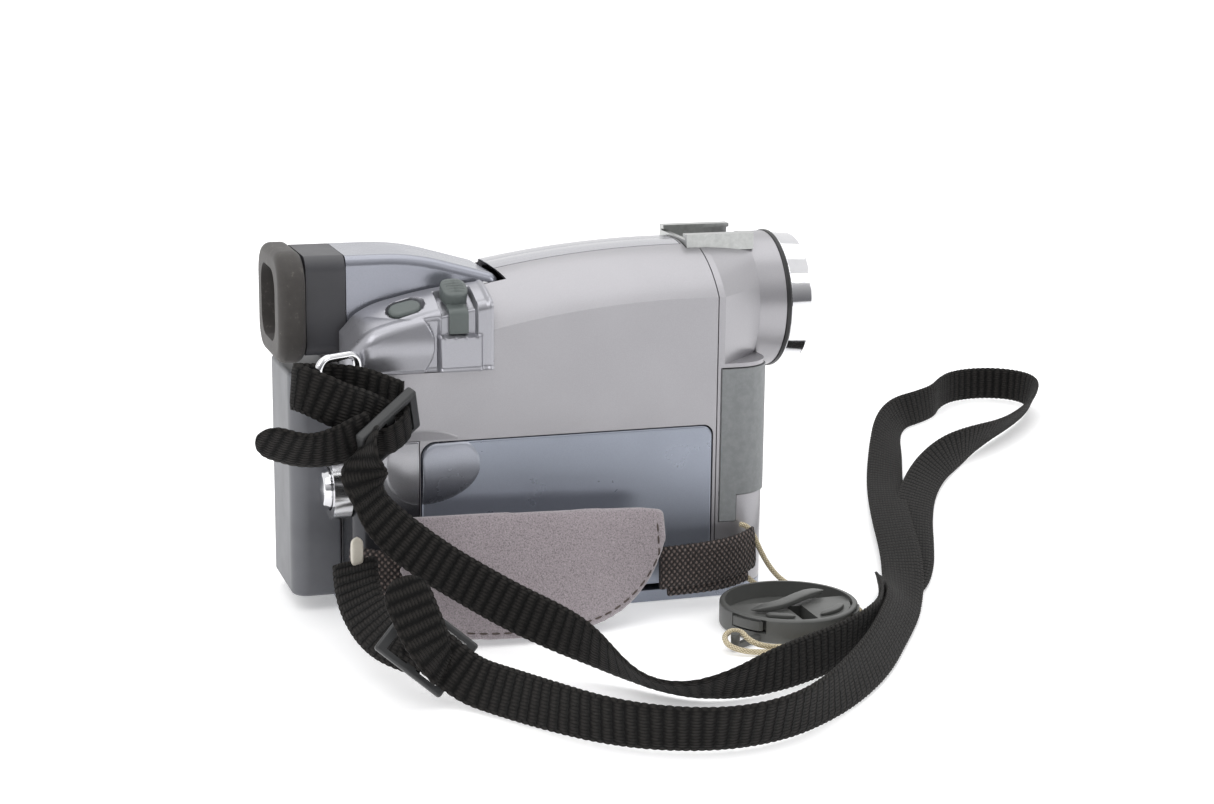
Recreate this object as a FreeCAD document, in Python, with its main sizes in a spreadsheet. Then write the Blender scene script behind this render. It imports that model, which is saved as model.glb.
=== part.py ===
import FreeCAD, Part
import math
import os
import re

V = FreeCAD.Vector
DOC = FreeCAD.newDocument("camcorder")
SHEET = DOC.addObject("Spreadsheet::Sheet", "Dims")
NODES = []

# Driving dimensions in millimetres. X runs forward to the lens, Y to the screen side, Z up.
# The floor is z = 0 and the grip side faces -Y.
DIM = {
    "rear_face": -58.0,
    "front_face": 60.0,
    "side_right": -28.0,
    "side_left": 27.0,
    "floor_top": 3.2,
    "block_top": 68.0,
    "loft_start": -20.0,
    "crown_centre_x": 37.0,
    "crown_centre_z": -192.8,
    "crease_height": 84.7,
    "crown_height": 97.1,
    "seam_front": 43.3,
    "corner_round": 10.0,
    "wall": 1.8,
    "gap": 0.3,
    "lens_height": 78.8,
    "barrel_radius": 19.2,
    "barrel_end": 66.9,
    "trim_end": 68.5,
    "ring_end": 75.0,
    "ring_radius": 18.8,
    "cover_left": -40.0,
    "cover_right": 42.2,
    "cover_low": 4.8,
    "cover_top": 49.2,
    "cover_pin_y": -25.0,
    "cover_pin_z": 6.4,
    "recess_depth": 7.4,
    "recess_low": 18.5,
    "recess_top": 78.5,
    "recess_back": -54.0,
    "recess_front": 47.0,
    "panel_low": 19.2,
    "panel_top": 77.8,
    "panel_back": -52.0,
    "panel_front": 38.0,
    "panel_hinge_x": 42.0,
    "panel_hinge_y": 24.0,
    "finder_pivot_x": -19.5,
    "finder_pivot_z": 86.5,
    "finder_half": 13.5,
    "finder_low": 70.8,
    "finder_back": -56.5,
    "deck_front": -21.5,
    "deck_inner": -15.6,
    "battery_back": -71.5,
    "battery_right": -11.0,
    "battery_left": 21.0,
    "battery_low": 4.0,
    "battery_top": 66.0,
    "dial_y": -19.9,
    "dial_z": 36.5,
    "dial_radius": 8.3,
    "button_radius": 5.4,
    "plate_face": -8.0,
    "drum_z": 63.5,
    "drum_radius": 10.85,
    "capstan_x": 24.0,
    "capstan_z": 57.0,
    "capstan_radius": 1.25,
    "roller_radius": 4.1,
    "reel_spread": 16.0,
    "reel_z": 28.0,
    "tripod_x": 4.0,
    "tripod_radius": 2.6,
    "shoe_back": 39.5,
    "shoe_length": 20.0,
    "shoe_half": 11.5,
    "shoe_base": 94.8,
    "cap_x": 54.0,
    "cap_y": -57.0,
    "cap_radius": 18.6,
    "cap_height": 6.6,
    "strap_width": 12.0,
    "strap_thick": 1.4,
    "cord_diameter": 1.5,
}


def fill_sheet():
    """Write the driving dimensions into the spreadsheet, one aliased cell each."""
    for row, (name, value) in enumerate(DIM.items(), start=1):
        cell = "B%d" % row
        SHEET.set("A%d" % row, name)
        SHEET.set(cell, str(value))
        SHEET.setAlias(cell, name)
    DOC.recompute()


def bind(item, prop, text):
    """Bind a property to an expression in which every word is a cell of the sheet."""
    item.setExpression(prop, re.sub(r"[a-z_]{2,}", lambda word: "Dims." + word.group(), str(text)))


def keep(item, label):
    """Register an object of the document as the sub-part called label."""
    item.Label = label
    NODES.append(item)
    return item


def place(item, low):
    """Bind the three coordinates of an object's placement."""
    for axis, text in zip("xyz", low):
        bind(item, "Placement.Base." + axis, text)


def box(name, low, size):
    """Box from its low corner and its three sides."""
    item = DOC.addObject("Part::Box", name)
    for side, text in zip(("Length", "Width", "Height"), size):
        bind(item, side, text)
    place(item, low)
    return item


TURN = {
    "x": FreeCAD.Rotation(V(0, 1, 0), 90),
    "y": FreeCAD.Rotation(V(1, 0, 0), -90),
    "z": FreeCAD.Rotation(),
}


def rod(name, start, axis, radius, length):
    """Cylinder that starts at a point and runs along +X, +Y or +Z."""
    item = DOC.addObject("Part::Cylinder", name)
    item.Placement = FreeCAD.Placement(V(), TURN[axis])
    place(item, start)
    bind(item, "Radius", radius)
    bind(item, "Height", length)
    return item


def cut(name, base, *tools):
    """The base with every tool taken away from it in turn."""
    for tool in tools:
        item = DOC.addObject("Part::Cut", name)
        item.Base = base
        item.Tool = tool
        base = item
    return base


def fuse(name, *items):
    """All the items joined into one."""
    item = DOC.addObject("Part::MultiFuse", name)
    item.Shapes = list(items)
    return item


def solid(name, shape):
    """Object that holds a shape made with Part's own functions."""
    item = DOC.addObject("Part::Feature", name)
    item.Shape = shape
    return item


def sketch(body, role, offset):
    """Sketch on one of the body's own origin planes, moved along its normal."""
    item = body.newObject("Sketcher::SketchObject", body.Name + "_sketch")
    plane = next(f for f in body.Origin.OriginFeatures if f.Role == role)
    item.AttachmentSupport = [(plane, "")]
    item.MapMode = "FlatFace"
    bind(item, "AttachmentOffset.Base.z", offset)
    return item


def outline(corners):
    """Edges of a closed outline through corners (u, v, radius), with arcs at the rounded ones."""
    stops = []
    count = len(corners)
    for i, (u, v, radius) in enumerate(corners):
        here = V(u, v, 0)
        back = V(*corners[i - 1][:2], 0) - here
        ahead = V(*corners[(i + 1) % count][:2], 0) - here
        back.normalize()
        ahead.normalize()
        if not radius:
            stops.append((here, None, here))
            continue
        half = back.getAngle(ahead) / 2
        reach = radius / math.tan(half)
        middle = back + ahead
        middle.normalize()
        belly = here + middle * (radius / math.sin(half) - radius)
        stops.append((here + back * reach, belly, here + ahead * reach))
    edges = []
    for i, (start, belly, end) in enumerate(stops):
        if belly:
            edges.append(Part.Arc(start, belly, end))
        edges.append(Part.LineSegment(end, stops[(i + 1) % count][0]))
    return edges


def pad(label, role, corners, offset, length, reverse=False):
    """Body made by padding an outline drawn on an origin plane."""
    body = DOC.addObject("PartDesign::Body", label)
    profile = sketch(body, role, offset)
    profile.addGeometry(outline(corners))
    feature = body.newObject("PartDesign::Pad", label + "_pad")
    feature.Profile = profile
    feature.Reversed = reverse
    bind(feature, "Length", length)
    DOC.recompute()
    return body


def turned(label, corners, axis_height):
    """Body of revolution about a line along X through y = 0 and the given height.

    Corners are (x, radius about the axis, rounding).
    """
    body = DOC.addObject("PartDesign::Body", label)
    profile = sketch(body, "XZ_Plane", 0)
    profile.addGeometry(outline(corners))
    feature = body.newObject("PartDesign::Revolution", label + "_turn")
    feature.Profile = profile
    feature.ReferenceAxis = (profile, ["H_Axis"])
    feature.Angle = 360
    bind(body, "Placement.Base.z", axis_height)
    DOC.recompute()
    return body


def round_edges(body, radius, chosen):
    """Fillet the body's edges that the test picks."""
    names = ["Edge%d" % (i + 1) for i, edge in enumerate(body.Shape.Edges) if chosen(edge)]
    base = body.Tip
    feature = body.newObject("PartDesign::Fillet", body.Name + "_round")
    feature.Base = (base, names)
    bind(feature, "Radius", radius)
    DOC.recompute()
    return body


def block(low, high):
    """Plain box shape between two corners."""
    return Part.makeBox(*(b - a for a, b in zip(low, high)), V(*low))


def prism(corners, role, start, end):
    """Solid between two planes square to Z, Y or X, from a rounded outline."""
    face = Part.Face(Part.Wire([edge.toShape() for edge in outline(corners)]))
    if role == "z":
        face.translate(V(0, 0, start))
        return face.extrude(V(0, 0, end - start))
    if role == "y":
        face.rotate(V(), V(1, 0, 0), 90)
        face.translate(V(0, start, 0))
        return face.extrude(V(0, end - start, 0))
    face.rotate(V(), V(1, 1, 1), 120)
    face.translate(V(start, 0, 0))
    return face.extrude(V(end - start, 0, 0))


# ---------------------------------------------------------------- body shells

def crown(inset):
    """Body from floor to top: flat sides and two shoulder arcs, swept along an arc from back to front."""
    x, pivot = DIM["crown_centre_x"], DIM["crown_centre_z"]
    right = DIM["side_right"] + inset
    left = DIM["side_left"] - inset
    crease = DIM["crease_height"] - inset
    top = DIM["crown_height"] - inset
    rise = 0.64 * (top - crease)
    low = -20.0
    corners = [V(x, right, low), V(x, right, crease), V(x, 0, top), V(x, left, crease), V(x, left, low)]
    ring = Part.Wire([
        Part.LineSegment(corners[0], corners[1]).toShape(),
        Part.Arc(corners[1], V(x, 0.68 * right, crease + rise), corners[2]).toShape(),
        Part.Arc(corners[2], V(x, 0.68 * left, crease + rise), corners[3]).toShape(),
        Part.LineSegment(corners[3], corners[4]).toShape(),
        Part.LineSegment(corners[4], corners[0]).toShape(),
    ])
    face = Part.Face(ring)
    face.rotate(V(x, 0, pivot), V(0, 1, 0), -18.0)
    sweep = face.revolve(V(x, 0, pivot), V(0, 1, 0), 22.0)
    start = DIM["loft_start"] + inset
    return sweep.common(block((start, right - 1, inset), (DIM["seam_front"] + 2.0, left + 1, 120.0)))


def neck(inset):
    """Part of the body that narrows from its full section to the round lens barrel."""
    right = DIM["side_right"] + inset
    left = DIM["side_left"] - inset
    axis = DIM["lens_height"]
    radius = DIM["barrel_radius"] - inset - 0.05
    low = 62.0 + inset
    start = DIM["seam_front"] + 2.0
    crease = 84.6 - inset
    top = 97.0 - inset
    rise = 0.64 * (top - crease)
    wide = [V(start, right, low), V(start, right, crease), V(start, 0, top), V(start, left, crease)]
    wide.append(V(start, left, low))
    first = Part.Wire([
        Part.LineSegment(wide[0], wide[1]).toShape(),
        Part.Arc(wide[1], V(start, 0.68 * right, crease + rise), wide[2]).toShape(),
        Part.Arc(wide[2], V(start, 0.68 * left, crease + rise), wide[3]).toShape(),
        Part.LineSegment(wide[3], wide[4]).toShape(),
        Part.LineSegment(wide[4], wide[0]).toShape(),
    ])
    end = DIM["front_face"] - 1.0
    angles = [220, 160, 90, 20, -40]

    def on_circle(degrees):
        turn = math.radians(degrees)
        return V(end, radius * math.cos(turn), axis + radius * math.sin(turn))

    arcs = []
    for i, angle in enumerate(angles):
        following = angles[i + 1] if i < 4 else angles[0] - 360
        arcs.append(Part.Arc(on_circle(angle), on_circle((angle + following) / 2), on_circle(following)))
    second = Part.Wire([arc.toShape() for arc in arcs])
    return Part.makeLoft([first, second], True, True)


def form(inset):
    """The whole body as one solid, shrunk by the inset."""
    back = DIM["rear_face"] + inset
    front = DIM["front_face"] - inset
    right = DIM["side_right"] + inset
    left = DIM["side_left"] - inset
    radius = max(DIM["corner_round"] - inset, 1.0)
    start = DIM["loft_start"] + inset
    seam = DIM["seam_front"]
    rear = prism(
        [(back, right, 5.0 - inset), (start + 1.0, right, 0), (start + 1.0, left, 0),
         (back, left, 4.0 - inset)],
        "z", inset, DIM["block_top"] - inset,
    )
    chin = prism(
        [(seam, right, 0), (front, right, radius), (front, left, radius), (seam, left, 0)],
        "z", inset, 66.0 - inset,
    )
    barrel = Part.makeCylinder(
        DIM["barrel_radius"] - inset, DIM["barrel_end"] - seam,
        V(seam, 0, DIM["lens_height"]), V(1, 0, 0),
    )
    shape = crown(inset)
    for piece in (rear, chin, neck(inset), barrel):
        shape = shape.fuse(piece)
    return shape.removeSplitter()


def screen_recess(grow):
    """Space in the left side that the folded screen panel lies in."""
    return block(
        (DIM["recess_back"] - grow, DIM["side_left"] - DIM["recess_depth"] - grow, DIM["recess_low"] - grow),
        (DIM["recess_front"] + grow, DIM["side_left"] + 5.0, DIM["recess_top"] + grow),
    )


def shell_form():
    """Hollow body with the screen recess let into its left side."""
    outer = form(0.0).cut(screen_recess(0.0))
    inner = form(DIM["wall"]).cut(screen_recess(DIM["wall"]))
    return outer.cut(inner)


def terminal_band(near, far, low, top, end_y):
    """Band round the front right corner, between two depths measured from the side face."""
    radius = DIM["corner_round"]
    side = DIM["side_right"]
    front = DIM["front_face"]
    start = DIM["seam_front"] + 1.3
    outer = radius - near
    inner = radius - far
    centre = V(front - radius, side + radius, low)

    def spoke(r, degrees):
        turn = math.radians(degrees)
        return centre + V(r * math.cos(turn), r * math.sin(turn), 0)

    edges = [
        Part.LineSegment(V(start, side + near, low), spoke(outer, -90)),
        Part.Arc(spoke(outer, -90), spoke(outer, -45), spoke(outer, 0)),
        Part.LineSegment(spoke(outer, 0), V(front - near, end_y, low)),
        Part.LineSegment(V(front - near, end_y, low), V(front - far, end_y, low)),
        Part.LineSegment(V(front - far, end_y, low), spoke(inner, 0)),
        Part.Arc(spoke(inner, 0), spoke(inner, -45), spoke(inner, -90)),
        Part.LineSegment(spoke(inner, -90), V(start, side + far, low)),
        Part.LineSegment(V(start, side + far, low), V(start, side + near, low)),
    ]
    face = Part.Face(Part.Wire([edge.toShape() for edge in edges]))
    return face.extrude(V(0, 0, top - low))


def make_shells():
    """Right and left shells, bottom cover, top cover, front housing and dial housing."""
    hollow = shell_form()
    gap = DIM["gap"] / 2
    seam = DIM["seam_front"]
    low = DIM["floor_top"]
    right = DIM["side_right"]
    far = 200.0
    cover = prism(
        [(DIM["cover_left"] - gap, low - 1, 0), (DIM["cover_right"] + gap, low - 1, 0),
         (DIM["cover_right"] + gap, DIM["cover_top"] + gap, 3),
         (DIM["cover_left"] - gap, DIM["cover_top"] + gap, 4)],
        "y", right - 5, right + 5,
    )
    dial_zone = block((DIM["rear_face"] - 1, right - 1, low + gap), (DIM["cover_left"] - 0.6, -11.6, 49.6))
    dial_front = DIM["cover_left"] - 0.6 + 2 * gap
    dial_gap = block((DIM["rear_face"] - 2, right - 2, low - 1), (dial_front, -11.6 + 2 * gap, 49.9))
    top_zone = block((-16.0, -8.5, 85.0), (38.6, 8.5, 105.0))
    top_gap = block((-30.0, -8.5 - 2 * gap, 85.0 - 2 * gap), (38.6 + 2 * gap, 8.5 + 2 * gap, 105.0))
    behind = block((-far, -far, low + gap), (seam - gap, far, far))
    shoe_gap = block(
        (DIM["shoe_back"] - gap, -DIM["shoe_half"] - gap, DIM["shoe_base"] - gap),
        (DIM["shoe_back"] + DIM["shoe_length"] + gap, DIM["shoe_half"] + gap, 110.0),
    )
    ready = hollow.cut([top_gap, dial_gap, cover])
    right_half = block((-far, -far, low + gap), (seam - gap, -gap, far))
    left_half = block((-far, gap, low + gap), (seam - gap, far, far))
    half = DIM["finder_half"] + 2
    pivot = V(DIM["finder_pivot_x"], -half, DIM["finder_pivot_z"])
    mouth = block((DIM["loft_start"] - 1, -half, 68.1), (-15.2, half, 110))
    mouth = mouth.fuse(block((-15.3, -half, 68.1), (-13.7, half, 89.9)))
    mouth = mouth.fuse(Part.makeCylinder(7.2, 2 * half, pivot, V(0, 1, 0)))
    rear_mouth = mouth.common(form(-1.0))
    keep(solid("RightShell", ready.common(right_half).cut([rear_mouth, shoe_gap])), "right_shell")
    keep(solid("LeftShell", ready.common(left_half).cut([rear_mouth, shoe_gap])), "left_shell")
    keep(solid("TopCover", hollow.common(top_zone).cut(mouth)), "top_cover")
    keep(solid("DialHousing", hollow.common(dial_zone).common(behind)), "dial_housing")
    ahead = block((seam + gap, -far, low + gap), (far, far, far))
    window = terminal_band(-2.0, 4.0, 28.7, 64.9, -13.6)
    strip = block((seam + 1.0, right - 1, 21.2), (49.6, right + 4, 30.0))
    lens_hole = Part.makeCylinder(16.3, 40, V(50, 0, DIM["lens_height"]), V(1, 0, 0))
    swing = block((seam + 0.95, right - 1, 28.7), (seam + 2.0, right + 0.4, 64.9))
    front = hollow.common(ahead).cut([window, strip, shoe_gap, lens_hole, swing])
    keep(solid("FrontHousing", front), "front_housing")


def make_bottom_cover():
    """Floor of the body with the tripod boss, two cover-pin ears and the eject slot."""
    low = DIM["floor_top"]
    slab = form(0.0).common(block((-200, -200, 0), (200, 200, low)))
    boss = Part.makeCylinder(8.0, 6.0, V(DIM["tripod_x"], 0, low - 1.0))
    shape = slab.fuse(boss)
    for x in (-37.0, 35.0):
        ear = block((x, DIM["cover_pin_y"] - 1.1, low - 1.0),
                    (x + 2.0, DIM["cover_pin_y"] + 1.5, DIM["cover_pin_z"] + 1.7))
        shape = shape.fuse(ear)
    hole = Part.makeCylinder(4.6, 20.0, V(DIM["tripod_x"], 0, -5.0))
    pin = Part.makeCylinder(0.9, 100.0, V(-50, DIM["cover_pin_y"], DIM["cover_pin_z"]), V(1, 0, 0))
    slot = block((-32.3, -2.3, -1.0), (-19.7, 4.3, 2.0))
    screws = [Part.makeCylinder(1.9, 2.0, V(x, y, -0.6)) for x, y in SCREWS]
    keep(solid("BottomCover", shape.cut([hole, pin, slot] + screws)), "bottom_cover")


SCREWS = [(-48.0, 19.0), (-48.0, -20.0), (30.0, 19.0), (48.0, -8.0)]


def make_bottom_fittings():
    """Threaded tripod bush, the eject slide in its slot, and the case screws."""
    sleeve = rod("BushSleeve", ("tripod_x", 0, 0.0), "z", 4.55, 8.2)
    bore = rod("BushBore", ("tripod_x", 0, -1), "z", "tripod_radius", 12)
    keep(cut("TripodBush", sleeve, bore), "tripod_bush")
    slide = box("SlideBase", (-30.0, -2.0, 0.35), (8.0, 6.0, 1.3))
    ribs = [box("SlideRib", (-28.5 + 2.0 * i, -1.5, 0.1), (0.8, 5.0, 0.6)) for i in range(3)]
    keep(fuse("EjectSlide", slide, *ribs), "eject_slide")
    heads = []
    for x, y in SCREWS:
        head = rod("ScrewHead", (x, y, 0.1), "z", 1.8, 1.2)
        cross = [box("ScrewCross", (x - 1.1, y - 0.2, -0.5), (2.2, 0.4, 1.1))]
        cross.append(box("ScrewCross", (x - 0.2, y - 1.1, -0.5), (0.4, 2.2, 1.1)))
        heads.append(cut("Screw", head, *cross))
    keep(fuse("CaseScrews", *heads), "case_screws")


# ---------------------------------------------------------------- cassette side

def make_cassette_cover():
    """Door over the tape bay, with two knuckles that turn on the cover pin."""
    right = DIM["side_right"]
    left, ahead = DIM["cover_left"] + 0.15, DIM["cover_right"] - 0.15
    low, top = DIM["cover_low"] + 0.15, DIM["cover_top"] - 0.15
    body = pad("CoverSkin", "XZ_Plane", [(left, low, 2), (ahead, low, 2), (ahead, top, 3), (left, top, 4)],
               "0.2 - side_right", "wall", True)
    face = body.Shape.BoundBox.YMin
    round_edges(body, 0.6, lambda edge: edge.BoundBox.YMax < face + 0.01)
    parts = [body]
    for x in (-31.0, 21.0):
        parts.append(rod("CoverKnuckle", (x, "cover_pin_y", "cover_pin_z"), "x", 1.7, 10))
        parts.append(box("CoverWeb", (x, right + 1.5, "cover_pin_z - 1.0"), (10, 1.6, 2.6)))
    joined = fuse("CoverSolid", *parts)
    bore = rod("CoverBore", (-40, "cover_pin_y", "cover_pin_z"), "x", 0.95, 90)
    keep(cut("CassetteCover", joined, bore), "cassette_cover")
    keep(rod("CoverPin", (-37.0, "cover_pin_y", "cover_pin_z"), "x", 0.9, 74), "cover_hinge_pin")


def make_tape_deck():
    """Deck plate with the head drum, capstan, pinch roller, two reel spindles and the cassette basket."""
    outline_points = [(-42, 9, 2), (42, 9, 2), (42, 60, 2), (8.8, 60, 0), (8.8, 76, 2), (-13.6, 76, 2),
                      (-13.6, 60, 0),
                      (-42, 60, 2)]
    plate = pad("DeckPlateBody", "XZ_Plane", outline_points, "-plate_face", 1.2, True)
    holes = [rod("ReelHole", (side * DIM["reel_spread"], -12, "reel_z"), "y", 1.05, 10) for side in (-1, 1)]
    holes.append(rod("DrumHole", (0, -12, "drum_z"), "y", 1.55, 10))
    holes.append(rod("CapstanHole", ("capstan_x", -12, "capstan_z"), "y", "capstan_radius + 0.05", 10))
    holes.append(rod("RollerHole", ("capstan_x + capstan_radius + roller_radius + 0.1", -12, "capstan_z"),
                     "y", 0.85, 10))
    keep(cut("DeckPlate", plate, *holes), "tape_deck_plate")
    drum = turned("DrumBody", [(-1.0, 0, 0), (11.0, 0, 0), (11.0, 9.0, 0), (10.2, 10.85, 0), (0.5, 10.85, 0),
                               (0.5, 3.0, 0), (0.2, 3.0, 0), (0.2, 1.5, 0), (-1.0, 1.5, 0)], "drum_z")
    drum.Placement = FreeCAD.Placement(V(0, -8.2, DIM["drum_z"]), FreeCAD.Rotation(V(0, 0, 1), -90))
    keep(drum, "head_drum")
    capstan = rod("Capstan", ("capstan_x", -20, "capstan_z"), "y", "capstan_radius", 16)
    keep(capstan, "capstan")
    sleeve = rod("RollerSleeve", ("capstan_x + capstan_radius + roller_radius + 0.1", -18, "capstan_z"), "y",
                 "roller_radius", 8)
    axle = rod("RollerAxle", ("capstan_x + capstan_radius + roller_radius + 0.1", -19, "capstan_z"), "y",
               0.8, 14)
    keep(fuse("PinchRoller", sleeve, axle), "pinch_roller")
    for side, label in ((-1, "supply_reel_spindle"), (1, "takeup_reel_spindle")):
        x = side * DIM["reel_spread"]
        hub = rod("ReelHub", (x, -12.0, "reel_z"), "y", 4.0, 3.6)
        shaft = rod("ReelShaft", (x, -9.0, "reel_z"), "y", 1.0, 5.0)
        fins = [box("ReelFin", (x - 4.4, -12.0, "reel_z - 0.4"), (8.8, 2.0, 0.8))]
        fins.append(box("ReelFin", (x - 0.4, -12.0, "reel_z - 4.4"), (0.8, 2.0, 8.8)))
        keep(fuse("ReelSpindle", hub, shaft, *fins), label)
    back = box("BasketBack", (-34.8, -11.6, 9.5), (69.6, 0.8, 41.5))
    sides = [box("BasketSide", (x, -23.5, 9.5), (0.8, 12.5, 41.5)) for x in (-34.8, 34.0)]
    whole = fuse("BasketSolid", back, *sides)
    ports = [rod("BasketPort", (side * DIM["reel_spread"], -20, "reel_z"), "y", 5.2, 15) for side in (-1, 1)]
    keep(cut("CassetteBasket", whole, *ports), "cassette_basket")


def make_main_board():
    """Main circuit board with its chips and connector blocks."""
    board = box("BoardPlate", (-50, 4.0, 8.6), (98, 1.2, 49.4))
    chips = [(-40, 12, 14, 14), (-18, 30, 18, 18), (8, 14, 12, 10), (26, 34, 16, 8), (-44, 42, 10, 8),
             (10, 40, 9, 9)]
    parts = [box("Chip", (x, 5.0, z), (wide, 1.7, tall)) for x, z, wide, tall in chips]
    keep(fuse("MainBoard", board, *parts), "main_board")


# ---------------------------------------------------------------- lens

def make_lens():
    """Trim ring, chrome ring, front element, lens tube, zoom group, rods and image sensor."""
    end, trim, ring = DIM["barrel_end"], DIM["trim_end"], DIM["ring_end"]
    radius, chrome = DIM["barrel_radius"], DIM["ring_radius"]
    keep(turned("TrimRing", [(end + 0.05, 15.8, 0), (trim - 0.1, 15.8, 0), (trim - 0.1, radius + 0.3, 0.5),
                             (end + 0.05, radius + 0.3, 0.3)], "lens_height"), "barrel_trim_ring")
    keep(turned("ChromeRing", [(trim, 13.2, 0), (trim + 0.6, 13.2, 0), (ring - 0.9, 16.4, 0),
                               (ring, 17.2, 0.3),
                               (ring, chrome - 0.6, 0.5), (trim, chrome, 0.3)], "lens_height"), "lens_ring")
    keep(turned("FrontGlass", [(62.0, 0, 0), (67.9, 0, 0), (67.4, 6.0, 8.0), (65.6, 12.2, 0), (63.4, 12.8, 0),
                               (62.0, 12.8, 0)], "lens_height"), "front_lens_glass")
    keep(turned("LensTube", [(12.0, 8.0, 0), (13.5, 8.0, 0), (13.5, 14.6, 0), (61.7, 14.6, 0),
                             (61.7, 13.0, 0),
                             (64.0, 13.0, 0), (64.0, 15.4, 0), (12.0, 15.4, 0)], "lens_height"), "lens_tube")
    rods = [rod("GuideRod", (13.6, 0, "lens_height %+.1f" % side), "x", 0.8, 48.0) for side in (-12.4, 12.4)]
    keep(fuse("GuideRods", *rods), "lens_guide_rods")
    carrier = rod("CarrierDisc", (22, 0, "lens_height"), "x", 14.2, 6)
    holes = [rod("CarrierBore", (20, 0, "lens_height %+.1f" % side), "x", 0.86, 10) for side in (-12.4, 12.4)]
    holes.append(rod("CarrierMouth", (20, 0, "lens_height"), "x", 9.0, 10))
    glass = turned("ZoomGlass", [(22.4, 0, 0), (28.2, 0, 0), (27.0, 9.05, 0), (23.6, 9.05, 0)], "lens_height")
    keep(fuse("ZoomGroup", cut("ZoomCarrier", carrier, *holes), glass), "zoom_lens_group")
    board = box("SensorPlate", (9.6, -9, "lens_height - 9"), (1.4, 18, 18))
    chip = box("SensorChip", (10.9, -4, "lens_height - 4"), (1.0, 8, 8))
    keep(fuse("SensorBoard", board, chip), "image_sensor_board")


# ---------------------------------------------------------------- terminals and shoe

def make_terminals():
    """Rubber terminal cover on the front corner, with the socket panel and its jacks behind it."""
    band = terminal_band(-0.5, 1.3, 29.0, 64.5, -14.0)
    start = DIM["seam_front"] + 1.3
    right = DIM["side_right"]
    tail = block((start, right - 0.5, 21.5), (49.3, right + 1.3, 29.5))
    keep(solid("TerminalCover", band.fuse(tail).removeSplitter()), "terminal_cover")
    panel = terminal_band(4.3, 5.5, 26.5, 67.0, -12.0).common(form(DIM["wall"] + 0.3))
    jacks = []
    for z in (35.0, 46.0, 57.0):
        ring = Part.makeCylinder(3.0, 3.1, V(54.6, -18.4, z), V(1, 0, 0))
        jacks.append(ring.cut(Part.makeCylinder(1.75, 5.0, V(55.0, -18.4, z), V(1, 0, 0))))
    keep(solid("TerminalPanel", panel.fuse(jacks)), "terminal_panel")


def make_shoe():
    """Accessory shoe: a tray with two rails whose lips turn inward."""
    length = "shoe_length - 0.2"
    start = "shoe_back + 0.1"
    tray = box("ShoeTray", (start, "-shoe_half", "shoe_base"), (length, "2 * shoe_half", 1.2))
    walls = [box("ShoeWall", (start, low, "shoe_base"), (length, 1.6, 4.6)) for low in ("-shoe_half",
                                                                                        "shoe_half - 1.6")]
    lips = [box("ShoeLip", (start, low, "shoe_base + 3.5"), (length, 3.3, 1.1))
            for low in ("-shoe_half", "shoe_half - 3.3")]
    stop = box("ShoeStop", (start, "-shoe_half", "shoe_base"), (1.5, "2 * shoe_half", 3.0))
    keep(fuse("Shoe", tray, stop, *walls, *lips), "accessory_shoe")


# ---------------------------------------------------------------- rear controls

# The control deck's top is a plane that rises forward and inward.
DECK_SLOPE_X = 0.25
DECK_SLOPE_Y = 0.42
DECK_HEIGHT = 76.6
DECK_NORMAL = V(-DECK_SLOPE_X, -DECK_SLOPE_Y, 1).normalize()


def deck_point(x, y, rise=0.0):
    """Point of the deck's top plane at x and y, raised along the normal."""
    z = DECK_HEIGHT + DECK_SLOPE_X * (x - DIM["rear_face"]) + DECK_SLOPE_Y * (y - DIM["side_right"])
    return V(x, y, z) + DECK_NORMAL * rise


def deck_block(right, left, back, front):
    """Block under the deck plane, with its outer corners rounded."""
    low = DIM["block_top"] + DIM["gap"]
    body = prism([(back, right, 6.0), (front, right, 0), (front, left, 0), (back, left, 0)], "z", low, 96.0)
    far = 60.0
    side = DECK_NORMAL.cross(V(0, 1, 0)).normalize()
    other = DECK_NORMAL.cross(side).normalize()
    middle = deck_point((back + front) / 2, (right + left) / 2)
    corners = [middle + side * (a * far) + other * (b * far) for a, b in ((-1, -1), (1, -1), (1, 1), (-1, 1))]
    lid = Part.Face(Part.makePolygon(corners + corners[:1]))
    return body.cut(lid.extrude(DECK_NORMAL * far))


def round_crest(deck, radius):
    """Round the deck's outer and rear top edges, which run on into each other."""
    back_of_front = DIM["deck_front"] - 0.5
    inner = DIM["deck_inner"]
    on_top = [edge for edge in deck.Edges if abs((edge.CenterOfMass - deck_point(0,
                                                                                 0)).dot(DECK_NORMAL)) < 0.01]
    outer = [edge for edge in on_top if edge.CenterOfMass.x < back_of_front and edge.BoundBox.YMin < inner - 1]
    return deck.makeFillet(radius, outer)


def oriented(shape, centre):
    """Shape drawn about the origin with +Z up, moved to a place on the deck and tipped to its plane."""
    turn = FreeCAD.Rotation(V(0, 0, 1), DECK_NORMAL)
    moved = shape.copy()
    moved.Placement = FreeCAD.Placement(centre, turn)
    return moved


def oval(length, width, height):
    """Round-ended block, length along X, standing on z = 0."""
    half = width / 2
    reach = length / 2 - half
    wire = Part.Wire([
        Part.LineSegment(V(-reach, -half, 0), V(reach, -half, 0)).toShape(),
        Part.Arc(V(reach, -half, 0), V(reach + half, 0, 0), V(reach, half, 0)).toShape(),
        Part.LineSegment(V(reach, half, 0), V(-reach, half, 0)).toShape(),
        Part.Arc(V(-reach, half, 0), V(-reach - half, 0, 0), V(-reach, -half, 0)).toShape(),
    ])
    return Part.Face(wire).extrude(V(0, 0, height))


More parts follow.
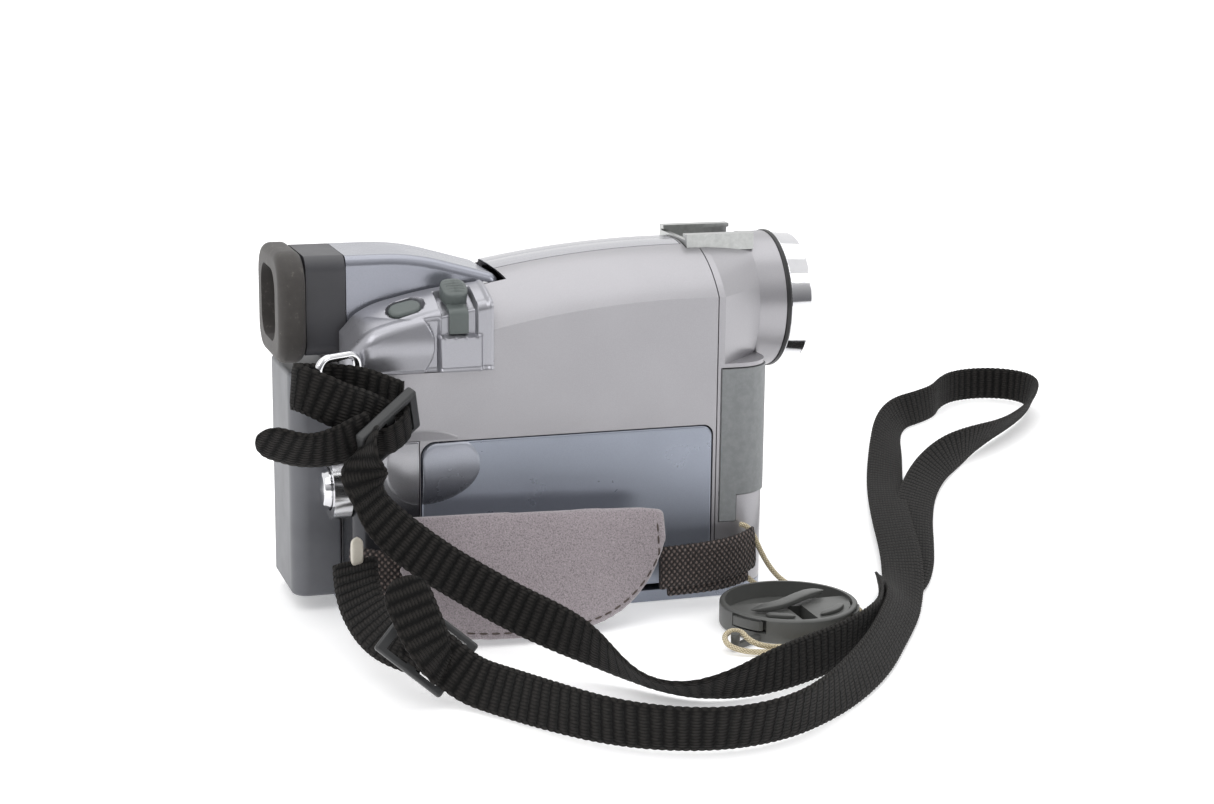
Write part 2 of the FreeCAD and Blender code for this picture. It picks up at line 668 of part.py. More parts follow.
def make_deck():
    """Control deck with its photo button and zoom lever, and the plain cover on the other side."""
    right = DIM["side_right"] - 0.6
    back, front = DIM["rear_face"] - 1.0, DIM["deck_front"]
    deck = deck_block(right, DIM["deck_inner"], back, front)
    deck = round_crest(deck, 2.0)
    button_spot = deck_point(-42.5, -21.6)
    lever_spot = deck_point(-29.4, -22.6)
    well = oriented(oval(9.6, 6.6, 20), button_spot - DECK_NORMAL * 3.2)
    slot = oriented(block((-4.3, -6.2, 0), (4.3, 5.2, 20)), lever_spot - DECK_NORMAL * 3.0)
    keep(solid("Deck", deck.cut([well, slot, ring_tube(1.2)])), "control_deck")
    button = oriented(oval(8.8, 5.8, 4.2), button_spot - DECK_NORMAL * 2.2)
    rim = [edge for edge in button.Edges if (edge.CenterOfMass - button_spot).dot(DECK_NORMAL) > 1.9]
    keep(solid("PhotoButton", button.makeFillet(0.9, rim)), "photo_button")
    strip = oriented(block((-2.6, -5.9, 0.4), (2.6, 4.7, 3.4)), lever_spot - DECK_NORMAL * 3.0)
    thumb = oriented(oval(6.8, 6.2, 3.2), lever_spot + deck_up() * 2.4 + DECK_NORMAL * 0.3)
    crown = [edge for edge in thumb.Edges if (edge.CenterOfMass - lever_spot).dot(DECK_NORMAL) > 3.3]
    thumb = thumb.makeFillet(1.0, crown)
    keep(solid("ZoomLever", strip.fuse(thumb)), "zoom_lever")
    mirror = deck_block(DIM["side_right"] + 1.0, DIM["deck_inner"], back + 1.0, front)
    cap = mirror.mirror(V(), V(0, 1, 0)).cut(screen_recess(0.3))
    keep(solid("SideCap", cap), "left_rear_cap")


def deck_up():
    """Direction up the deck's slope, square to X."""
    return V(0, 1, DECK_SLOPE_Y).normalize()


def make_dial():
    """Power dial on the rear face, with the start and stop button in its middle."""
    back = DIM["rear_face"]
    ring = rod("DialRing", ("rear_face - 5.2", "dial_y", "dial_z"), "x", "dial_radius", 4.9)
    tab = box("DialTab", ("rear_face - 5.2", "dial_y - 1.2", "dial_z + dial_radius - 1"), (4.9, 2.4, 2.4))
    mouth = rod("DialMouth", ("rear_face - 8", "dial_y", "dial_z"), "x", "button_radius + 0.5", 9)
    keep(cut("PowerDial", fuse("DialSolid", ring, tab), mouth), "power_dial")
    button = turned("StartButton", [(back - 7.6, 0, 0), (back - 7.2, 4.6, 0.8), (back - 5.6, 5.4, 0.5),
                                    (back - 1.6, 5.4, 0), (back - 1.6, 0, 0)], "dial_z")
    bind(button, "Placement.Base.y", "dial_y")
    keep(button, "start_stop_button")


def make_battery():
    """Battery block on the rear face, with rounded rear corners, and its release slide."""
    right, left = DIM["battery_right"], DIM["battery_left"]
    back, front = DIM["battery_back"], DIM["rear_face"] - DIM["gap"]
    body = pad("Battery", "XY_Plane", [(back, right, 4.5), (front, right, 0.6), (front, left, 0.6),
                                       (back, left, 4.5)],
               "battery_low", "battery_top - battery_low")
    keep(round_edges(body, 1.2, lambda edge: edge.BoundBox.ZLength < 1e-6 and edge.BoundBox.XMax < front - 1),
         "battery_pack")
    base = box("ReleaseBase", (-53, "side_left + 0.3", 8), (9, 1.2, 5))
    ribs = [box("ReleaseRib", (-51 + 1.8 * i, "side_left + 1.4", 8.6), (0.8, 0.6, 3.8)) for i in range(4)]
    keep(fuse("BatteryRelease", base, *ribs), "battery_release")


# ---------------------------------------------------------------- viewfinder

def make_viewfinder():
    """Tilting viewfinder housing with its bracket, pin and display."""
    half = DIM["finder_half"]
    low, back = DIM["finder_low"], DIM["finder_back"]
    side = [(back, low, 0), (-27.0, low, 3), (-15.0, 81.0, 5), (-14.2, 90.6, 3.5), (-38.0, 97.4, 60),
            (back, 97.4, 0)]
    body = pad("Finder", "XZ_Plane", side, "-finder_half", "2 * finder_half")
    round_edges(body, 2.6, lambda edge: edge.BoundBox.YLength < 1e-6 and edge.BoundBox.ZMin > 88.5
                and edge.BoundBox.XLength > 3)
    cavity = box("FinderCavity", (back - 1, -11.8, 73.2), (23, 23.6, 21.6))
    bore = rod("FinderBore", ("finder_pivot_x", -20, "finder_pivot_z"), "y", 1.56, 40)
    keep(cut("FinderHousing", body, cavity, bore), "viewfinder_housing")
    display = box("Display", (back + 20.1, -9, 76), (1.6, 18, 15))
    keep(cut("DisplayCut", display, rod("DisplayNotch", (back + 19, 0, 84), "x", 0.8, 1.5)),
         "viewfinder_display")
    base = box("BracketBase", (-25.5, -half - 1.7, "block_top + 0.3"), (11.5, 2 * half + 3.4, 1.4))
    ears = []
    for low_y in (-half - 1.7, half + 0.4):
        ears.append(box("BracketEar", (-22.5, low_y, "block_top + 0.3"), (6.0, 1.3, 18)))
        ears.append(rod("BracketEye", ("finder_pivot_x", low_y, "finder_pivot_z"), "y", 3.0, 1.3))
    pin = rod("FinderPin", ("finder_pivot_x", -half - 1.7, "finder_pivot_z"), "y", 1.5, 2 * half + 3.4)
    frame = fuse("BracketSolid", base, pin, *ears)
    keep(frame, "viewfinder_bracket")
    collar = prism([(-14.0, 70.9, 3.5), (14.0, 70.9, 3.5), (14.0, 97.5, 4), (-14.0, 97.5, 4)], "x", -67.3,
                   back - 0.3)
    sleeve = prism([(-11.4, 73.6, 1), (11.4, 73.6, 1), (11.4, 94.4, 1), (-11.4, 94.4, 1)], "x", back - 1.0,
                   -42.0)
    tunnel = prism([(-9.8, 75.2, 2), (9.8, 75.2, 2), (9.8, 92.8, 2), (-9.8, 92.8, 2)], "x", -62.5, -40.0)
    mouth = Part.makeCylinder(9.0, 10.0, V(-70, 0, 84.0), V(1, 0, 0))
    keep(solid("Collar", collar.fuse(sleeve).cut([tunnel, mouth]).removeSplitter()), "eyepiece_collar")
    keep(turned("EyeLens", [(-67.1, 0, 0), (-66.4, 8.7, 0), (-63.4, 8.7, 0), (-62.8, 0, 0)], 84.0),
         "eyepiece_lens")
    lever = box("DiopterBase", (-64.5, 14.3, 82), (5.0, 0.9, 7.0))
    keep(fuse("DiopterLever", lever, box("DiopterTab", (-63.0, 14.9, 84), (2.0, 1.6, 3.0))), "diopter_lever")
    cup = prism([(-16.8, 68.9, 8), (16.8, 68.9, 8), (16.8, 98.7, 9), (-16.8, 98.7, 9)], "x", -75.0, -67.6)
    hollow = prism([(-10.5, 74.2, 6), (10.5, 74.2, 6), (10.5, 93.8, 6), (-10.5, 93.8, 6)], "x", -76.0, -66.0)
    rims = [edge for edge in cup.Edges if edge.BoundBox.XLength < 1e-6]
    keep(solid("Eyecup", cup.makeFillet(2.4, rims).cut(hollow)), "eyecup")


# ---------------------------------------------------------------- side screen

def make_screen():
    """Folding screen panel: outer cover, bezel, screen, hinge barrel and pin, and the keys behind it."""
    back, front = DIM["panel_back"], DIM["panel_front"]
    low, top = DIM["panel_low"], DIM["panel_top"]
    corners = [(back, low, 5), (front, low, 2), (front, top, 2), (back, top, 5)]
    cover = pad("ScreenCover", "XZ_Plane", corners, -24.6, 3.9, True)
    face = cover.Shape.BoundBox.YMax
    round_edges(cover, 1.8, lambda edge: abs(edge.BoundBox.YMin - face) < 1e-6)
    keep(cover, "screen_cover")
    frame = pad("ScreenFrame", "XZ_Plane", corners, -20.3, 4.1, True)
    window = box("ScreenWindow", (back + 14, 19, low + 5), (64, 3.2, 49))
    keep(cut("ScreenBezel", frame, window), "screen_bezel")
    keep(box("Screen", (back + 14.2, 20.8, low + 5.2), (63.6, 1.2, 48.6)), "screen_panel")
    barrel = rod("HingeBarrel", ("panel_hinge_x", "panel_hinge_y", low), "z", 3.8, top - low)
    web = box("HingeWeb", (front + 0.1, "panel_hinge_y - 3.0", low),
              ("panel_hinge_x - panel_front - 0.1", 6.0, top - low))
    bore = rod("HingeBore", ("panel_hinge_x", "panel_hinge_y", low - 1), "z", 1.56, top - low + 2)
    keep(cut("ScreenHinge", fuse("HingeSolid", barrel, web), bore), "screen_hinge")
    keep(rod("HingePin", ("panel_hinge_x", "panel_hinge_y", "recess_low + 0.05"), "z", 1.5,
             "recess_top - recess_low - 0.1"), "screen_hinge_pin")
    keys = []
    for i in range(3):
        keys.append(rod("SideKey", (-30 + 12 * i, "side_left + 0.3", 10), "y", 2.4, 1.3))
    keep(fuse("SideKeys", *keys), "side_keys")


# ---------------------------------------------------------------- straps and cords

# Centre line of the neck strap, from the lower slider round the floor to the upper slider.
# Each stop is x, y, height of the lower edge, and lean of the width from upright, positive to the left.
STRAP_ROUTE = [
    (-56.9, -87.5, 11.4, 30), (-52.6, -89.7, 7.9, 30), (-48.4, -92, 4.2, 30), (-44, -96.5, 1, 27),
    (-39, -103, 0.3, 24), (-31, -117, 0.3, 10), (-21, -131, 0.3, -6), (-8.5, -140, 0.3, -14),
    (6, -143.5, 0.3, -18), (21, -140, 0.3, -12), (35, -130, 0.3, 2), (48, -117, 0.3, 20), (61, -101, 0.3, 30),
    (73, -83, 0.3, 32), (84, -65, 0.3, 44), (91, -50, 0.6, 64), (98, -35, 1.9, 84), (105, -19, 1.9, 96),
    (112, -1, 1.9, 98), (119, 18, 1.9, 97), (130, 46, 1.7, 94), (142, 74, 0.4, 86), (157, 106, 0.3, 70),
    (169, 131, 0.3, 46), (180, 146, 0.3, 26), (191, 152, 0.3, 14), (201, 160, 0.3, 6), (209, 172, 0.3, 0),
    (219, 182, 0.3, 2), (232, 185, 0.3, 4), (243, 180, 0.3, 0), (246, 168, 0.3, 8), (239, 153, 0.3, 24),
    (223, 133, 0.3, 34), (202, 112, 0.3, 36), (184, 96, 0.3, 10), (170, 85, 0.3, -34), (157, 72, 0.3, -62),
    (143, 51, 0.3, -76), (130, 26, 0.3, -82), (119, 2, 0.3, -88), (109, -19, 0.3, -90), (99, -36, 0.3, -86),
    (90, -46, 0.3, -62), (83, -55, 0.3, -26), (77, -66, 0.3, 4), (69.5, -79, 0.3, 8), (60, -89, 0.3, 4),
    (50, -97, 0.3, -4), (38, -104, 0.3, -6), (26, -110, 0.3, 8), (15, -113, 0.3, 38), (6, -111, 0.3, 58),
    (-1, -104, 0.3, 56), (-6, -95, 1.2, 34), (-12, -86, 4.0, 8), (-19, -78, 6.8, -14), (-27, -71, 10.2, -20),
    (-35, -65, 14.4, -14), (-43, -59, 19.0, -12), (-51, -53.5, 25.4, -34), (-58.3, -51, 34, -46),
    (-60.5, -51.8, 42, -34), (-60, -50, 49.5, -30), (-56.5, -45.4, 53.5, -50),
]

# Loop of webbing from the upper slider round the strap ring and back, and its free tail.
UPPER_LOOP = [
    (-52.5, -40.5, 52.5, -22), (-58, -41.6, 55.6, -16), (-64, -42.2, 57.6, -6), (-70, -41.2, 60.8, 0),
    (-74.6, -38.2, 62.4, 0), (-75.4, -34.4, 62.0, 0), (-71.5, -31.6, 61.2, 0), (-64.5, -30.9, 60.6, 0),
    (-58, -31.8, 60.0, 0), (-52.5, -34.4, 58.6, -8), (-47.5, -38.5, 57.2, -16),
]
UPPER_TAIL = [
    (-56.5, -44.2, 51.2, 4), (-60.2, -44.8, 50, 10), (-65.3, -45.2, 48.4, 20), (-73.2, -46, 48, 34),
    (-80.2, -46.4, 50.2, 38), (-86.4, -46, 52.6, 34),
]

# Loop of webbing from the rear end of the hand strap to the lower slider, and its free tail.
LOWER_LOOP = [
    (-61.2, -43, 20.7, 78), (-62.6, -50.5, 15.7, 68), (-62.6, -61.5, 10.6, 56), (-60.6, -73, 7.2, 46),
    (-56.4, -83, 6.2, 34), (-52.6, -84.6, 5, 30),
]
LOWER_TAIL = [
    (-50.4, -94.2, 5.5, -50), (-52.6, -94.6, 8.6, -50), (-55, -92.8, 14.1, -50), (-57.4, -90.3, 20.6, -50),
    (-59.4, -87.8, 27, -50),
]

# Lens-cap cord: from the hand strap round the cap to its lug, and back beside itself.
CAP_CORD = [
    (50.2, -29.6, 20.6), (52.4, -31.2, 20.9), (56.2, -32.8, 11.2), (60.4, -35.2, 5.2), (66, -39.4, 2.7),
    (70.6, -44.4, 2.6), (73.6, -51, 2.6), (74.3, -58, 2.6), (72.8, -65, 2.6), (69, -71.2, 2.5),
    (63, -76.2, 1.9),
    (55, -79.2, 1.2), (46.5, -80.4, 0.85), (39, -80.4, 0.85), (33.4, -79.2, 1.1), (29.6, -76.4, 2.0),
    (29.4, -72.8, 3.4), (32, -70.9, 4.4), (34.6, -72.6, 4.4), (35.0, -75.6, 3.3), (37.6, -77.9, 2.0),
    (43, -78.2, 1.1),
    (50, -77.4, 0.85), (58, -76.9, 0.85), (65.2, -74, 0.85), (70.8, -68.6, 0.85), (74, -61.4, 0.85),
    (74, -53.4, 0.85), (70.4, -45.4, 0.85), (64.6, -39.6, 0.85), (58.6, -35.6, 1.4), (54.4, -33.2, 3.4),
    (51.5, -31.2, 6.2),
]


def rounded_path(points):
    """Straight runs joined by the largest tangent arcs they allow, and the smallest radius."""
    edges = []
    smallest = 1e9
    last = points[0]
    for before, here, after in zip(points, points[1:], points[2:]):
        back = before - here
        ahead = after - here
        half_turn = (math.pi - back.getAngle(ahead)) / 2
        reach = 0.45 * min(back.Length, ahead.Length)
        radius = reach / math.tan(half_turn)
        smallest = min(smallest, radius)
        back.normalize()
        ahead.normalize()
        middle = back + ahead
        middle.normalize()
        start = here + back * reach
        end = here + ahead * reach
        belly = here + middle * (radius / math.cos(half_turn) - radius)
        edges.append(Part.LineSegment(last, start).toShape())
        edges.append(Part.Arc(start, belly, end).toShape())
        last = end
    edges.append(Part.LineSegment(last, points[-1]).toShape())
    return edges, smallest


def webbing_centre(stop, width, thick):
    """Centre of the webbing at a stop of its route, from the height of its lower edge."""
    x, y, low, lean = stop
    turn = math.radians(lean)
    return V(x, y, low + width / 2 * abs(math.cos(turn)) + thick / 2 * abs(math.sin(turn)))


def ribbon(label, route, width, thick):
    """Flat webbing that follows a route, as one closed solid of narrow triangles."""
    points = [webbing_centre(stop, width, thick) for stop in route]
    edges, smallest = rounded_path(points)
    total = sum(edge.Length for edge in edges)
    stations = []
    for edge in edges:
        steps = 1 if isinstance(edge.Curve, Part.Line) else 3
        first, final = edge.ParameterRange
        for i in range(steps):
            spot = first + (final - first) * i / steps
            stations.append((edge.valueAt(spot), edge.tangentAt(spot)))
    final = edges[-1].ParameterRange[1]
    stations.append((edges[-1].valueAt(final), edges[-1].tangentAt(final)))
    rings = []
    for spot, run in stations:
        near = min(range(len(points) - 1), key=lambda i: distance_to_run(spot, points[i], points[i + 1]))
        leg = points[near + 1] - points[near]
        share = max(0.0, min(1.0, (spot - points[near]).dot(leg) / leg.Length ** 2))
        lean = math.radians(route[near][3] * (1 - share) + route[near + 1][3] * share)
        up = V(0, 0, 1) - run * run.z
        up.normalize()
        wide = up * math.cos(lean) + up.cross(run) * math.sin(lean)
        flat = wide.cross(run)
        a = wide * (width / 2)
        b = flat * (thick / 2)
        rings.append([spot + a + b, spot + a - b, spot - a - b, spot - a + b])
    faces = [Part.Face(Part.makePolygon(ring + ring[:1])) for ring in (rings[0], rings[-1])]
    for low, high in zip(rings, rings[1:]):
        for i in range(4):
            j = (i + 1) % 4
            faces.append(Part.Face(Part.makePolygon([low[i], low[j], high[j], low[i]])))
            faces.append(Part.Face(Part.makePolygon([low[i], high[j], high[i], low[i]])))
    shell = Part.Shell(faces)
    shell.sewShape()
    body = Part.Solid(shell)
    if body.Volume < 0:
        body.reverse()
    ratio = body.Volume / (total * width * thick)
    print("%s: %.0f mm long, smallest radius %.1f, volume over section times length %.3f"
          % (label, total, smallest, ratio))
    return body


def distance_to_run(spot, start, end):
    """Distance from a point to the straight run between two others."""
    leg = end - start
    share = max(0.0, min(1.0, (spot - start).dot(leg) / leg.Length ** 2))
    return (start + leg * share - spot).Length


def make_neck_strap():
    """Neck strap: the long run, and the looped ends with their tails."""
    width, thick = DIM["strap_width"], DIM["strap_thick"]
    keep(solid("NeckStrap", ribbon("neck strap", STRAP_ROUTE, width, thick)), "neck_strap")
    ends = [
        ribbon("upper loop", UPPER_LOOP, width, thick),
        ribbon("upper tail", UPPER_TAIL, width, thick),
        ribbon("lower loop", LOWER_LOOP, width, thick),
        ribbon("lower tail", LOWER_TAIL, width, thick),
    ]
    keep(solid("NeckStrapEnds", Part.makeCompound(ends)), "neck_strap_ends")


def slider_plate(centre, travel, across):
    """Three-bar slider whose webbing runs along travel and lies across the other direction."""
    plate = Part.makeBox(20.0, 3.0, 16.0, V(-10.0, -1.5, -8.0))
    plate = plate.makeFillet(0.8, plate.Edges)
    for low in (-7.4, 1.4):
        plate = plate.cut(Part.makeBox(6.0, 10.0, 12.6, V(low, -5.0, -6.3)))
    plate.Placement = FreeCAD.Placement(centre, FreeCAD.Rotation(travel, V(), across, "XZY"))
    return plate


def make_sliders():
    """The two plastic sliders of the neck strap, where they hang and lie."""
    upper = slider_plate(V(-51.6, -41.0, 56.4), V(0.78, 0.33, 0.53), V(-0.23, -0.65, 0.73))
    lower = slider_plate(V(-53.0, -87.0, 13.0), V(0.72, -0.37, -0.585), V(0.62, 0.25, 0.74))
    keep(solid("StrapSliders", Part.makeCompound([upper, lower])), "strap_sliders")


def ring_tube(wire_radius):
    """Rounded rectangle of wire that hangs from the rear corner of the control deck."""
    inner = V(-57.0, -29.4, 74.6)
    along_ring = V(-11.4, -6.4, 0)
    drop = V(0, 0, -16.1)
    corners = [inner, inner + along_ring, inner + along_ring + drop, inner + drop]
    radius = 3.2
    edges = []
    for i, here in enumerate(corners):
        back = (corners[i - 1] - here).normalize()
        ahead = (corners[(i + 1) % 4] - here).normalize()
        belly = here + (back + ahead) * (radius * (1 - math.sqrt(0.5)))
        edges.append(Part.Arc(here + back * radius, belly, here + ahead * radius).toShape())
        following = corners[(i + 1) % 4]
        edges.append(Part.LineSegment(here + ahead * radius, following - ahead * radius).toShape())
    path = Part.Wire(edges)
    start = edges[0].valueAt(edges[0].ParameterRange[0])
    run = edges[0].tangentAt(edges[0].ParameterRange[0])
    profile = Part.Wire([Part.Circle(start, run, wire_radius).toShape()])
    return path.makePipeShell([profile], True, False)


def make_strap_ring():
    """Wire ring for the neck strap, fixed in a lug at the rear corner of the control deck."""
    keep(solid("StrapRing", ring_tube(1.15)), "strap_ring")


def make_hand_strap():
    """Padded hand strap hanging off the grip side, and the webbing that carries it."""
    sections = []
    for x, top, low, out in ((-50.0, 33.0, 3.0, 46.0), (-34.0, 33.0, 1.2, 52.0), (-16.0, 32.5, 1.2, 53.0),
                             (4.0, 32.0, 1.6, 48.0), (17.0, 31.0, 5.0, 44.0), (24.0, 28.0, 11.0, 42.0)):
        ring = [V(x, -38.2, top), V(x, -41.4, top), V(x, -out - 2.4, low), V(x, -out + 0.8, low)]
        sections.append(Part.makePolygon(ring + ring[:1]))
    keep(solid("HandStrapPad", Part.makeLoft(sections, True, True)), "hand_strap_pad")
    front = [(24.6, -39.6), (36.0, -38.6), (46.0, -35.6), (52.0, -30.6)]
    rear = [(-50.4, -40.4), (-56.0, -37.6), (-60.0, -32.4)]
    bands = [upright_band(front, 1.6, 7.0, 19.0), upright_band(rear, 1.6, 12.0, 24.0)]
    keep(solid("HandStrapWebbing", Part.makeCompound(bands)), "hand_strap_webbing")


def upright_band(points, thick, low, top):
    """Upright band of webbing along a bent line in plan."""
    edges, smallest = rounded_path([V(x, y, low) for x, y in points])
    centre = Part.Wire(edges)
    one = centre.makeOffset2D(thick / 2, 0, False, True)
    two = centre.makeOffset2D(-thick / 2, 0, False, True)
    ends = []
    for pick in (0, -1):
        ends.append(Part.LineSegment(one.OrderedVertexes[pick].Point,
                                     two.OrderedVertexes[pick].Point).toShape())
    ring = Part.Wire(Part.__sortEdges__(one.Edges + two.Edges + ends))
    return Part.Face(ring).extrude(V(0, 0, top - low))


def make_lens_cap():
    """Lens cap lying face up on the floor, with two squeeze clips in its recess and its cord."""
    x, y = DIM["cap_x"], DIM["cap_y"]
    radius, height = DIM["cap_radius"], DIM["cap_height"]
    centre = V(x, y, 0)
    body = Part.makeCylinder(radius, height, centre)
    body = body.makeFillet(0.8, [edge for edge in body.Edges if edge.BoundBox.ZLength < 1e-6])
    body = body.cut(Part.makeCylinder(radius - 1.5, height, centre + V(0, 0, 2.2)))
    bar = Part.makeBox(2 * radius - 2.0, 5.0, 3.6, V(x - radius + 1.0, y - 2.5, 2.0))
    body = body.fuse(bar)
    lug = Part.makeCylinder(1.2, 4.2, V(32.2, -74.2, 0.4))
    arm = prism([(31.2, -74.6, 0), (32.6, -75.2, 0), (42.6, -69.0, 0), (41.2, -67.4, 0)], "z", 0.4, 1.9)
    reach = [sorted((x + side * (radius - 7.4), x + side * (radius + 2))) for side in (-1, 1)]
    notches = [block((low, y - 14.2, 2.6), (high, y - 4.8, 6.2)) for low, high in reach]
    body = body.cut(notches).fuse([lug, arm]).removeSplitter()
    keep(solid("LensCap", body), "lens_cap")
    disc = Part.makeCylinder(radius - 2.1, 3.2, centre + V(0, 0, 2.8))
    limit = Part.makeCylinder(radius + 0.4, 10.0, centre)
    for side, label in ((-1, "cap_clip_left"), (1, "cap_clip_right")):
        near, wide, tip = sorted((side * 2.2, side * 16.0)), sorted((side * 12.6,
                                                                     side * (radius + 0.4))), (5.8, 13.2)
        lobe = block((x + near[0], y - 15.4, 2.8), (x + near[1], y - 3.2, 6.0))
        nose = block((x + wide[0], y - tip[1], 3.2), (x + wide[1], y - tip[0], 5.6))
        keep(solid("CapClip", disc.common(lobe).fuse(nose.common(limit)).removeSplitter()), label)
    diameter = DIM["cord_diameter"]
    points = [V(*stop) for stop in CAP_CORD]
    edges, smallest = rounded_path(points)
    path = Part.Wire(edges)
    run = edges[0].tangentAt(edges[0].ParameterRange[0])
    profile = Part.Wire([Part.Circle(points[0], run, diameter / 2).toShape()])
    tube = path.makePipeShell([profile], True, False)
    ratio = tube.Volume / (path.Length * math.pi * diameter ** 2 / 4)
    print("cap cord: %.0f mm long, smallest radius %.1f, volume ratio %.3f" % (path.Length, smallest, ratio))
    keep(solid("CapCord", tube), "cap_cord")


# ---------------------------------------------------------------- build

def check_and_write():
    """Stop on any failed object or bad shape, then write one file for each sub-part."""
    DOC.recompute()
    for item in DOC.Objects:
        if "Invalid" in item.State or "Error" in item.State:
            raise SystemExit("failed object: %s %s" % (item.Name, item.State))
    os.makedirs("parts", exist_ok=True)
    for item in NODES:
        shape = item.Shape
        if shape.isNull() or not shape.isValid() or not shape.Solids:
            raise SystemExit("bad shape: " + item.Label)
    for item in NODES:
        item.Shape.exportStep("parts/%s.step" % item.Label)
        print(item.Label, len(item.Shape.Solids), round(item.Shape.Volume, 1))
    print(len(NODES), "sub-parts")


fill_sheet()
make_shells()
make_bottom_cover()
make_bottom_fittings()
make_cassette_cover()
make_tape_deck()
make_main_board()
make_lens()
make_terminals()
make_shoe()
make_deck()
make_dial()
make_battery()
make_viewfinder()
make_screen()
make_strap_ring()
make_hand_strap()
make_neck_strap()
make_sliders()
make_lens_cap()
check_and_write()
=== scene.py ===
import bpy, bmesh, math, random
from mathutils import Vector as V, Matrix


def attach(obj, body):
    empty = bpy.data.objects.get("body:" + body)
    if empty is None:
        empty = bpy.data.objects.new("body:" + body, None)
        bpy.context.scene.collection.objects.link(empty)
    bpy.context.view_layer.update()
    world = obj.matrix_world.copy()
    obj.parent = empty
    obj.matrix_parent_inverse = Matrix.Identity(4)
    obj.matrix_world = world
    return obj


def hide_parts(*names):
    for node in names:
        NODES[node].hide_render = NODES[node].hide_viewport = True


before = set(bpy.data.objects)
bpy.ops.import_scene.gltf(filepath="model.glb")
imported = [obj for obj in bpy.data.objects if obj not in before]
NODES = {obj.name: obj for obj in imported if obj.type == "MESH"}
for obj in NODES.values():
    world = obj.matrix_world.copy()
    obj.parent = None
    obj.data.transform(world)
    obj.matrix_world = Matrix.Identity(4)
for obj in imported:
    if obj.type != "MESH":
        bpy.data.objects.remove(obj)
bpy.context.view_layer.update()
MM = 0.001
BEAD = 1.9         # mm between the beads of a strip's edge
BACK_MAP = 40.0    # mm that the map of a strip's back lies beside the map of its front
random.seed(11)


# ------------------------------------------------------------------ camera

def make_camera():
    """Camera at the photograph's angle, aimed at a point on the camcorder's side."""
    data = bpy.data.cameras.new("view")
    data.lens = 68.96
    data.clip_start = 0.01
    data.clip_end = 20
    cam = bpy.data.objects.new("view", data)
    place = V((-177.87, -610.94, 193.79)) * MM
    target = V((20.64, 0.0, 50.79)) * MM
    roll = math.radians(0.59)
    turn = (target - place).to_track_quat("-Z", "Y").to_matrix().to_4x4()
    cam.matrix_world = Matrix.Translation(place) @ turn @ Matrix.Rotation(roll, 4, "Z")
    bpy.context.collection.objects.link(cam)
    bpy.context.scene.camera = cam


make_camera()


# ------------------------------------------------------------------ node materials

class Mat:
    """A node material built up from a Principled shader."""

    def __init__(self, name, colour, rough=0.5, metal=0.0, **sockets):
        self.mat = bpy.data.materials.new(name)
        self.mat.use_nodes = True
        self.tree = self.mat.node_tree
        self.shader = self.tree.nodes["Principled BSDF"]
        self.colour = colour
        self.put("Base Color", (*colour, 1))
        self.put("Roughness", rough)
        self.put("Metallic", metal)
        for key, value in sockets.items():
            self.put(key.replace("_", " "), value)

    def put(self, key, value):
        self.shader.inputs[key].default_value = value

    def node(self, kind, **props):
        item = self.tree.nodes.new(kind)
        for key, value in props.items():
            setattr(item, key, value)
        return item

    def link(self, a, b):
        self.tree.links.new(a, b)

    def coords(self, kind="Object"):
        return self.node("ShaderNodeTexCoord").outputs[kind]

    def noise(self, scale, detail=3.0, rough=0.55, source=None, stretch=None):
        item = self.node("ShaderNodeTexNoise")
        item.inputs["Scale"].default_value = scale
        item.inputs["Detail"].default_value = detail
        item.inputs["Roughness"].default_value = rough
        source = source or self.coords()
        if stretch:
            mapping = self.node("ShaderNodeMapping")
            mapping.inputs["Scale"].default_value = stretch
            self.link(source, mapping.inputs["Vector"])
            source = mapping.outputs[0]
        self.link(source, item.inputs["Vector"])
        return item.outputs["Fac"]

    def math(self, op, a, b=0.0, c=None):
        item = self.node("ShaderNodeMath", operation=op)
        for i, value in enumerate((a, b, c)):
            if value is None:
                continue
            if isinstance(value, (int, float)):
                item.inputs[i].default_value = value
            else:
                self.link(value, item.inputs[i])
        return item.outputs[0]

    def ramp(self, fac, *stops):
        item = self.node("ShaderNodeValToRGB")
        band = item.color_ramp
        while len(band.elements) < len(stops):
            band.elements.new(0.5)
        for element, (spot, colour) in zip(band.elements, stops):
            element.position = spot
            element.color = (*colour, 1) if len(colour) == 3 else colour
        self.link(fac, item.inputs[0])
        return item.outputs[0]

    def paint(self, fac, *stops):
        self.link(self.ramp(fac, *stops), self.shader.inputs["Base Color"])
        return self

    def mix(self, fac, a, b):
        item = self.node("ShaderNodeMix", data_type="RGBA")
        for key, value in ((0, fac), (6, a), (7, b)):
            if isinstance(value, (int, float)):
                item.inputs[key].default_value = value
            elif isinstance(value, tuple):
                item.inputs[key].default_value = (*value, 1)
            else:
                self.link(value, item.inputs[key])
        return item.outputs[2]

    def colour_from(self, out):
        self.link(out, self.shader.inputs["Base Color"])
        return self

    def rough_from(self, fac, low, high):
        item = self.node("ShaderNodeMapRange")
        item.inputs["To Min"].default_value = low
        item.inputs["To Max"].default_value = high
        self.link(fac, item.inputs["Value"])
        self.link(item.outputs[0], self.shader.inputs["Roughness"])
        return self

    def bump(self, height, strength, distance):
        item = self.node("ShaderNodeBump")
        item.inputs["Strength"].default_value = strength
        item.inputs["Distance"].default_value = distance
        self.link(height, item.inputs["Height"])
        if self.shader.inputs["Normal"].links:
            self.link(self.shader.inputs["Normal"].links[0].from_socket, item.inputs["Normal"])
        self.link(item.outputs[0], self.shader.inputs["Normal"])
        return self

    def axis(self, name, kind="Object"):
        item = self.node("ShaderNodeSeparateXYZ")
        self.link(self.coords(kind), item.inputs[0])
        return item.outputs[name]


def shade(colour, k):
    return tuple(min(1.0, c * k) for c in colour)


